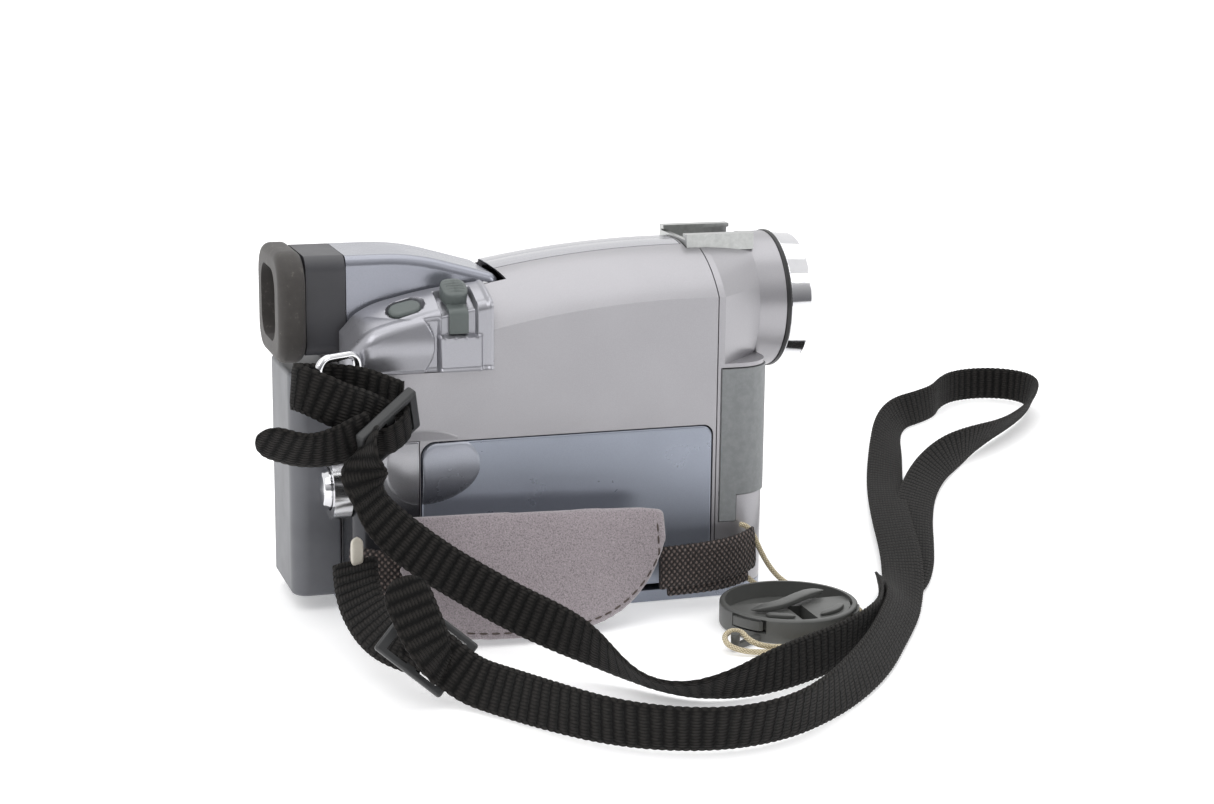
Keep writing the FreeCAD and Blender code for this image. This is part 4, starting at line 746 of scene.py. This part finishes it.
def make_bands():
    """Brown basket-weave bands at both ends of the hand strap, doubled at the front."""
    front = [(23, -40.6, 7.2, 0), (30, -40.2, 7.3, 0), (38, -39.6, 7.5, 0), (45.5, -37.4, 7.8, 0),
             (51, -34.0, 8.2, 0), (53.5, -31.8, 8.6, 0)]
    under = [(26, -38.6, 4.6, 0), (34, -38.3, 4.6, 0), (41, -37.6, 4.8, 4), (46.5, -35.6, 5.0, 8),
             (50.6, -33.0, 5.4, 8)]
    rear = [(-48, -41.3, 12, 0), (-53.5, -40.2, 12.2, 0), (-57.6, -37.4, 12.4, 0), (-60.4, -33.4, 12.6, 0)]
    for name, route, width in (("front", front, 12.0), ("under", under, 10.0), ("rear", rear, 12.0)):
        obj, _ = strip("hand_strap_band_" + name, route, width, 1.6, M["brown"], 0.4, 2.1,
                       relief=0.12)
        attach(obj, "camcorder")
    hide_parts("hand_strap_webbing")


make_pad()
make_bands()


# ------------------------------------------------------------------ control deck

def smooth(low, high, value):
    """Soft step from 0 at low to 1 at high."""
    share = max(0.0, min(1.0, (value - low) / (high - low)))
    return share * share * (3 - 2 * share)


def along(table, x):
    """Value of a table of x and value, read smoothly."""
    for i in range(len(table) - 1):
        if x <= table[i + 1][0] or i == len(table) - 2:
            before = table[max(i - 1, 0)]
            here, there = table[i], table[i + 1]
            after = table[min(i + 2, len(table) - 1)]
            t = (x - here[0]) / (there[0] - here[0])
            m0 = (there[1] - before[1]) / max(1e-6, there[0] - before[0]) * (there[0] - here[0])
            m1 = (after[1] - here[1]) / max(1e-6, after[0] - here[0]) * (there[0] - here[0])
            return ((2 * t ** 3 - 3 * t ** 2 + 1) * here[1] + (t ** 3 - 2 * t ** 2 + t) * m0
                    + (3 * t ** 2 - 2 * t ** 3) * there[1] + (t ** 3 - t ** 2) * m1)


INNER_EDGE = [(-60, 77.0), (-58, 79.0), (-55, 82.2), (-50, 84.8), (-44, 86.4), (-38, 87.7), (-31, 88.8),
              (-20, 89.9)]
CREST = [(-60, 72.6), (-58, 74.4), (-55, 76.9), (-49, 79.6), (-42.5, 81.6), (-37, 83.1), (-30, 84.4),
         (-20, 86.2)]
INNER_Y, DECK_LOW = -15.6, 68.3
DECK_REAR, DECK_LONG, DECK_CORNER = -59.0, 38.8, 6.0
WELL_X, WELL_Y, SLOT_X = -42.5, -21.6, -29.4


def deck_profile(x):
    """Section of the deck at x: from the inner edge over the crest and down the outer side."""
    side = -28.6
    short = DECK_REAR + DECK_CORNER - x
    if short > 0:
        side += DECK_CORNER - math.sqrt(max(0.0, DECK_CORNER ** 2 - short ** 2))
    top, crest = along(INNER_EDGE, x), along(CREST, x)
    radius = 2.6
    points = []
    flat = 44
    for i in range(flat):
        share = i / flat
        y = INNER_Y + (side + radius - INNER_Y) * share
        points.append((y, top + (crest + 0.9 - top) * share + 0.5 * math.sin(math.pi * share)))
    slope = math.atan2(top - crest - 0.9, INNER_Y - side - radius)
    arc = 16
    for i in range(arc + 1):
        angle = slope + (math.pi / 2 - slope) * i / arc
        points.append((side + radius - radius * math.sin(angle),
                       crest + 0.9 - radius * (1 - math.cos(angle))))
    start = points[-1][1]
    rows = 46
    for i in range(1, rows + 1):
        points.append((side, start + (DECK_LOW - start) * i / rows))
    return points


def make_deck():
    """Polished control deck: crest, button well, lever slot, ledge under the slot and bulging rear side."""
    columns = []
    count = 150
    for i in range(count + 1):
        x = DECK_REAR + DECK_LONG * i / count
        section = deck_profile(x)
        ring = []
        for j, (y, z) in enumerate(section):
            before, after = section[max(j - 1, 0)], section[min(j + 1, len(section) - 1)]
            dy, dz = after[0] - before[0], after[1] - before[1]
            size = math.hypot(dy, dz)
            ny, nz = (dz / size, -dy / size)
            if nz < 0 or (abs(nz) < 1e-6 and ny > 0):
                ny, nz = -ny, -nz
            push = 0.0
            well = math.hypot(max(0.0, abs(x - WELL_X) - 1.5), (y - WELL_Y) * 1.09)
            if z > 79:
                push -= 2.4 * smooth(3.75, 3.35, well)
            slot_x = smooth(4.9, 4.5, abs(x - SLOT_X))
            if y < -17.6:
                push -= 1.9 * slot_x * smooth(-17.8, -18.4, y) * smooth(77.2, 77.7, z)
            if y < -26.5:
                ledge = smooth(6.2, 5.5, abs(x + 29.3)) * smooth(77.9, 77.3, z)
                push += 0.9 * ledge
            bulb_end = -36.4 - 0.055 * (z - 75.5) ** 2
            height = max(0.0, min(1.0, (z - DECK_LOW) / 14.0))
            bulb = smooth(bulb_end + 0.5, bulb_end - 0.3, x) * smooth(DECK_REAR, -52, x)
            if y < -20 and z < 84:
                push += 1.5 * bulb * math.sin(math.pi * height) ** 0.8
                inside = smooth(bulb_end - 0.2, bulb_end + 0.4, x) * smooth(-34.2, -35.6, x)
                push -= 1.0 * inside * smooth(83.2, 81.6, z)
            push += 0.55 * smooth(69.3, 68.5, z) + 0.35 * smooth(-22.0, -21.2, x) * smooth(-20.2, -20.9, x)
            ring.append(V((x, y + ny * push, z + nz * push)))
        ring.append(V((x, INNER_Y, DECK_LOW)))
        columns.append(ring)
    size = len(columns[0])
    verts = [p * MM for ring in columns for p in ring]
    faces = []
    for i in range(count):
        for j in range(size):
            k = (j + 1) % size
            faces.append((i * size + j, (i + 1) * size + j, (i + 1) * size + k, i * size + k))
    faces.append(tuple(range(size)))
    faces.append(tuple(reversed(range(count * size, (count + 1) * size))))
    obj = piece("deck_shell", verts, faces, M["deck"], True)
    tidy(obj)
    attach(obj, "camcorder")
    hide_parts("control_deck")


def tidy(obj, sharp=40):
    """Consistent outward normals, with hard edges kept crisp."""
    work = bmesh.new()
    work.from_mesh(obj.data)
    bmesh.ops.recalc_face_normals(work, faces=work.faces)
    for edge in work.edges:
        if len(edge.link_faces) == 2 and edge.calc_face_angle(0) > math.radians(sharp):
            edge.smooth = False
    work.to_mesh(obj.data)
    work.free()


def make_lever():
    """Zoom lever: a curved strip that follows the deck, and a ribbed thumb pad."""
    middle, half = SLOT_X, 2.6
    section = [(y, z) for y, z in deck_profile(middle) if y < -18.6 and z > 77.9]
    verts, faces = [], []
    cols = 9
    for j, (y, z) in enumerate(section):
        before, after = section[max(j - 1, 0)], section[min(j + 1, len(section) - 1)]
        run = V((0, after[0] - before[0], after[1] - before[1])).normalized()
        out = V((1, 0, 0)).cross(run)
        if out.z < 0 or (abs(out.z) < 0.02 and out.y > 0):
            out = -out
        for side in (0.0, 1.3):
            for i in range(cols):
                across = 2 * i / (cols - 1) - 1
                sink = 0.55 + side + 0.35 * abs(across) ** 4
                verts.append((V((middle + across * half, y, z)) - out * sink) * MM)
    step = 2 * cols
    for j in range(len(section) - 1):
        for side in (0, cols):
            for i in range(cols - 1):
                a = j * step + side + i
                faces.append((a, a + 1, a + 1 + step, a + step))
        for a, b in ((0, cols), (cols - 1, 2 * cols - 1)):
            faces.append((j * step + a, j * step + b, (j + 1) * step + b, (j + 1) * step + a))
    for j in (0, len(section) - 1):
        outer = tuple(j * step + i for i in range(cols))
        faces.append(outer + tuple(j * step + cols + i for i in reversed(range(cols))))
    near = min(deck_profile(middle), key=lambda p: abs(p[0] + 22.0))
    base = V((middle, near[0], near[1]))
    up = V((0, 0.92, 0.42)).normalized()
    out = V((0, -0.42, 0.92)).normalized()
    start = len(verts)
    rings, around = 26, 48
    face, crown, rib_pitch = 0.55, 2.9, 1.15
    for i in range(rings + 1):
        share = i / rings
        for k in range(around):
            angle = 2 * math.pi * k / around
            wide = math.copysign(abs(math.cos(angle)) ** 0.75, math.cos(angle)) * 3.5
            tall = math.copysign(abs(math.sin(angle)) ** 0.75, math.sin(angle)) * 4.1
            reach = min(1.0, share / face)
            if share < face:
                ribs = math.cos(2 * math.pi * tall * reach / rib_pitch) * 0.16 * smooth(0.86, 0.7, reach)
                rise = crown - 0.75 * reach ** 3 + ribs
            else:
                rise = crown - 0.75 - (share - face) / (1 - face) * 3.1
            verts.append((base + V((wide * reach, 0, 0)) + up * (tall * reach + 0.8) + out * rise) * MM)
    faces += ring_faces(rings + 1, around, start)
    faces.append(tuple(start + rings * around + k for k in range(around)))
    obj = piece("zoom_lever_pad", verts, faces, M["controls"], True)
    work = bmesh.new()
    work.from_mesh(obj.data)
    bmesh.ops.remove_doubles(work, verts=work.verts, dist=0.000002)
    work.to_mesh(obj.data)
    work.free()
    tidy(obj, 50)
    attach(obj, "zoom")
    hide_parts("zoom_lever")


make_deck()
make_lever()


BULGE_MIDDLE, BULGE_TALL, BULGE_SEAM = 42.6, 10.4, -40.3


def make_bulge(name, node, body, finish, start, end, foot, head, corner=0.0):
    """Part of the bullet-shaped swelling that runs from the dial housing into the cassette cover.

    It lies between start and end in x and foot and head in z, less one rounded upper rear corner.
    """
    back = node.matrix_world.inverted()
    toward = (back.to_3x3() @ V((0, 1, 0))).normalized()
    verts, faces = [], []
    cols, rows = 34, 34

    def skin(x, z):
        """The node's outer face at x and z, or a point further down where there is none."""
        for drop in range(8):
            hit, where, _, _ = node.ray_cast(back @ V((x * MM, -0.08, (z - drop) * MM)), toward)
            if hit:
                return (node.matrix_world @ where).y / MM
        return -38.5

    def spread(count):
        """Even shares with each end doubled, so that the rim can turn in."""
        return [0.0] + [k / count for k in range(count + 1)] + [1.0]

    for column, share in enumerate(spread(cols)):
        x = start + (end - start) * share
        reach = 16.7 if x > BULGE_SEAM else 9.6
        room = max(0.0, 1 - ((x - BULGE_SEAM) / reach) ** 2)
        bottom = max(foot, BULGE_MIDDLE - BULGE_TALL * math.sqrt(room))
        roof = head
        if x < start + corner:
            roof -= corner - math.sqrt(corner ** 2 - (start + corner - x) ** 2)
        top = max(bottom, min(roof, BULGE_MIDDLE + BULGE_TALL * math.sqrt(room)))
        for row, t in enumerate(spread(rows)):
            z = bottom + (top - bottom) * t
            full = max(0.0, room - ((z - BULGE_MIDDLE) / BULGE_TALL) ** 2)
            rise = 1.3 * full ** 1.1 + 0.2 * min(1.0, 9 * full)
            if column in (0, cols + 2) or row in (0, rows + 2):
                rise = -0.3
            verts.append((x * MM, (skin(x, z) + 0.08 - rise) * MM, z * MM))
    size = rows + 3
    for i in range(cols + 2):
        for j in range(rows + 2):
            a = i * size + j
            faces.append((a, a + size, a + size + 1, a + 1))
    obj = piece(name, verts, faces, finish, True)
    tidy(obj, 50)
    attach(obj, body)


# The cover and housing bulges take lacquers with painted shade, darker towards their foot.
make_bulge("cover_bulge", NODES["cassette_cover"], "cassette_door", M["bulge"],
           -39.75, -24.0, 30.0, 48.95, 4.0)
make_bulge("housing_bulge", NODES["dial_housing"], "camcorder", M["dial_house"],
           -49.8, -40.85, 30.0, 49.3)
make_bulge("shell_bulge", NODES["right_shell"], "camcorder", M["silver"],
           -47.0, -30.0, 49.95, 54.0)


# ------------------------------------------------------------------ lens cap grips

def make_bar(name, rows, width, height, body, mat=None, upward=V((0, 0, 1))):
    """Rounded moulded bar along a route, thinner towards both ends."""
    line = spline(rows, 10)
    verts = []
    around = 24
    for i, here in enumerate(line):
        run = (line[min(i + 1, len(line) - 1)] - line[max(i - 1, 0)]).normalized()
        side = upward.cross(run).normalized()
        up = run.cross(side)
        share = i / (len(line) - 1)
        taper = max(0.05, 1 - abs(2 * share - 1) ** 7)
        for k in range(around):
            angle = 2 * math.pi * k / around
            wide = math.copysign(abs(math.cos(angle)) ** 0.5, math.cos(angle)) * width / 2 * taper
            tall = math.copysign(abs(math.sin(angle)) ** 0.5, math.sin(angle)) * height / 2 * taper
            verts.append((here + side * wide + up * tall) * MM)
    faces = ring_faces(len(line), around)
    faces.append(tuple(reversed(range(around))))
    faces.append(tuple((len(line) - 1) * around + k for k in range(around)))
    obj = piece(name, verts, faces, mat or M["cap"], True)
    tidy(obj, 60)
    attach(obj, body)


make_bar("cap_grip", [(40.6, -63.4, 6.9), (44, -64.2, 7.3), (50, -62.8, 7.6), (56, -58.6, 7.7),
                      (62, -54.4, 7.4), (66.4, -52.0, 6.8)], 3.6, 1.9, "camcorder")
make_bar("cap_clip_ridge_right", [(57.4, -70.4, 6.4), (61.4, -69.2, 6.5), (64.6, -66.6, 6.5),
                                  (66.8, -63.2, 6.4)], 2.2, 1.3, "clip_right")
make_bar("strap_anchor_bar", [(-60.9, -44.2, 21.6), (-61.1, -44.6, 25.4), (-60.8, -44.2, 29.6)], 3.2, 2.0,
         "camcorder", M["pearl"], V((0, -1, 0)))
make_bar("cap_clip_ridge_left", [(50.6, -70.4, 6.4), (46.6, -69.2, 6.5), (43.4, -66.8, 6.5)], 2.2, 1.3,
         "clip_left")


# ------------------------------------------------------------------ finishes on the CAD pieces

FINISH = {
    "silver": ["right_shell", "left_shell", "front_housing", "screen_cover", "screen_hinge"],
    "bright": ["top_cover", "left_rear_cap", "side_keys"],
    "finder": ["viewfinder_housing"],
    "bluegray": ["cassette_cover", "bottom_cover"],
    # The dial housing's lacquer has painted shade, darker towards its foot.
    "dial_house": ["dial_housing"],
    "battery": ["battery_pack"],
    "collar": ["eyepiece_collar"],
    "charcoal": ["diopter_lever", "screen_bezel", "lens_tube", "zoom_lens_group", "viewfinder_display"],
    "black": ["barrel_trim_ring", "terminal_panel"],
    "controls": ["photo_button", "battery_release", "eject_slide"],
    "cap": ["lens_cap", "cap_clip_left", "cap_clip_right"],
    "slider": ["strap_sliders"],
    "white": ["supply_reel_spindle", "takeup_reel_spindle"],
    "eyecup": ["eyecup"],
    "flap": ["terminal_cover"],
    "roller": ["pinch_roller"],
    "chrome": ["lens_ring", "strap_ring", "start_stop_button"],
    "satin": ["power_dial"],
    "shoe": ["accessory_shoe"],
    "steel": ["tripod_bush", "case_screws", "cover_hinge_pin", "tape_deck_plate", "cassette_basket",
              "capstan", "lens_guide_rods", "viewfinder_bracket", "screen_hinge_pin"],
    "drum": ["head_drum"],
    "lens": ["front_lens_glass", "eyepiece_lens"],
    "screen": ["screen_panel"],
    "board": ["main_board", "image_sensor_board"],
}
for key, names in FINISH.items():
    for name in names:
        data = NODES[name].data
        data.materials.clear()
        data.materials.append(M[key])


# ------------------------------------------------------------------ floor and light

def make_stage():
    """Pale floor with soft studio light from above, the left and behind."""
    size = 4.0
    floor = piece("floor", [(-size, -size, 0), (size, -size, 0), (size, size, 0), (-size, size, 0)],
                  [(0, 1, 2, 3)],
                  Mat("floor", (0.90, 0.90, 0.905), 0.6, 0.0, Emission_Color=(1, 1, 1, 1),
                      Emission_Strength=0.3).mat, False)
    floor.location.z = -0.0002
    world = bpy.data.worlds.new("studio")
    bpy.context.scene.world = world
    world.use_nodes = True
    tree = world.node_tree
    back = tree.nodes["Background"]
    look = tree.nodes.new("ShaderNodeTexCoord")
    split = tree.nodes.new("ShaderNodeSeparateXYZ")
    tree.links.new(look.outputs["Generated"], split.inputs[0])
    lift = tree.nodes.new("ShaderNodeMath")
    lift.operation = "MULTIPLY_ADD"
    lift.inputs[1].default_value = 0.9
    tree.links.new(split.outputs["Z"], lift.inputs[0])
    tree.links.new(split.outputs["Y"], lift.inputs[2])
    spread = tree.nodes.new("ShaderNodeMapRange")
    spread.inputs["From Min"].default_value = -1.0
    spread.inputs["From Max"].default_value = 0.35
    tree.links.new(lift.outputs[0], spread.inputs["Value"])
    band = tree.nodes.new("ShaderNodeValToRGB")
    band.color_ramp.interpolation = "EASE"
    band.color_ramp.elements[0].color = (0.16, 0.16, 0.17, 1)
    band.color_ramp.elements[1].color = (1.0, 1.0, 1.0, 1)
    tree.links.new(spread.outputs[0], band.inputs[0])
    tree.links.new(band.outputs[0], back.inputs[0])
    back.inputs[1].default_value = 1.0
    for name, place, aim, size, watts in (
        ("key", (-0.9, -0.7, 1.5), (0, 0, 0.05), 1.3, 9),
        ("top", (0.35, 0.3, 1.8), (0.05, 0, 0.0), 1.8, 9),
        ("side", (1.2, -0.9, 0.9), (0.05, 0, 0.05), 0.7, 3),
    ):
        lamp = bpy.data.lights.new(name, "AREA")
        lamp.size = size
        lamp.energy = watts
        obj = bpy.data.objects.new(name, lamp)
        obj.location = place
        obj.rotation_euler = (V(aim) - V(place)).to_track_quat("-Z", "Y").to_euler()
        bpy.context.collection.objects.link(obj)
    bpy.context.scene.view_settings.view_transform = "Standard"


make_stage()
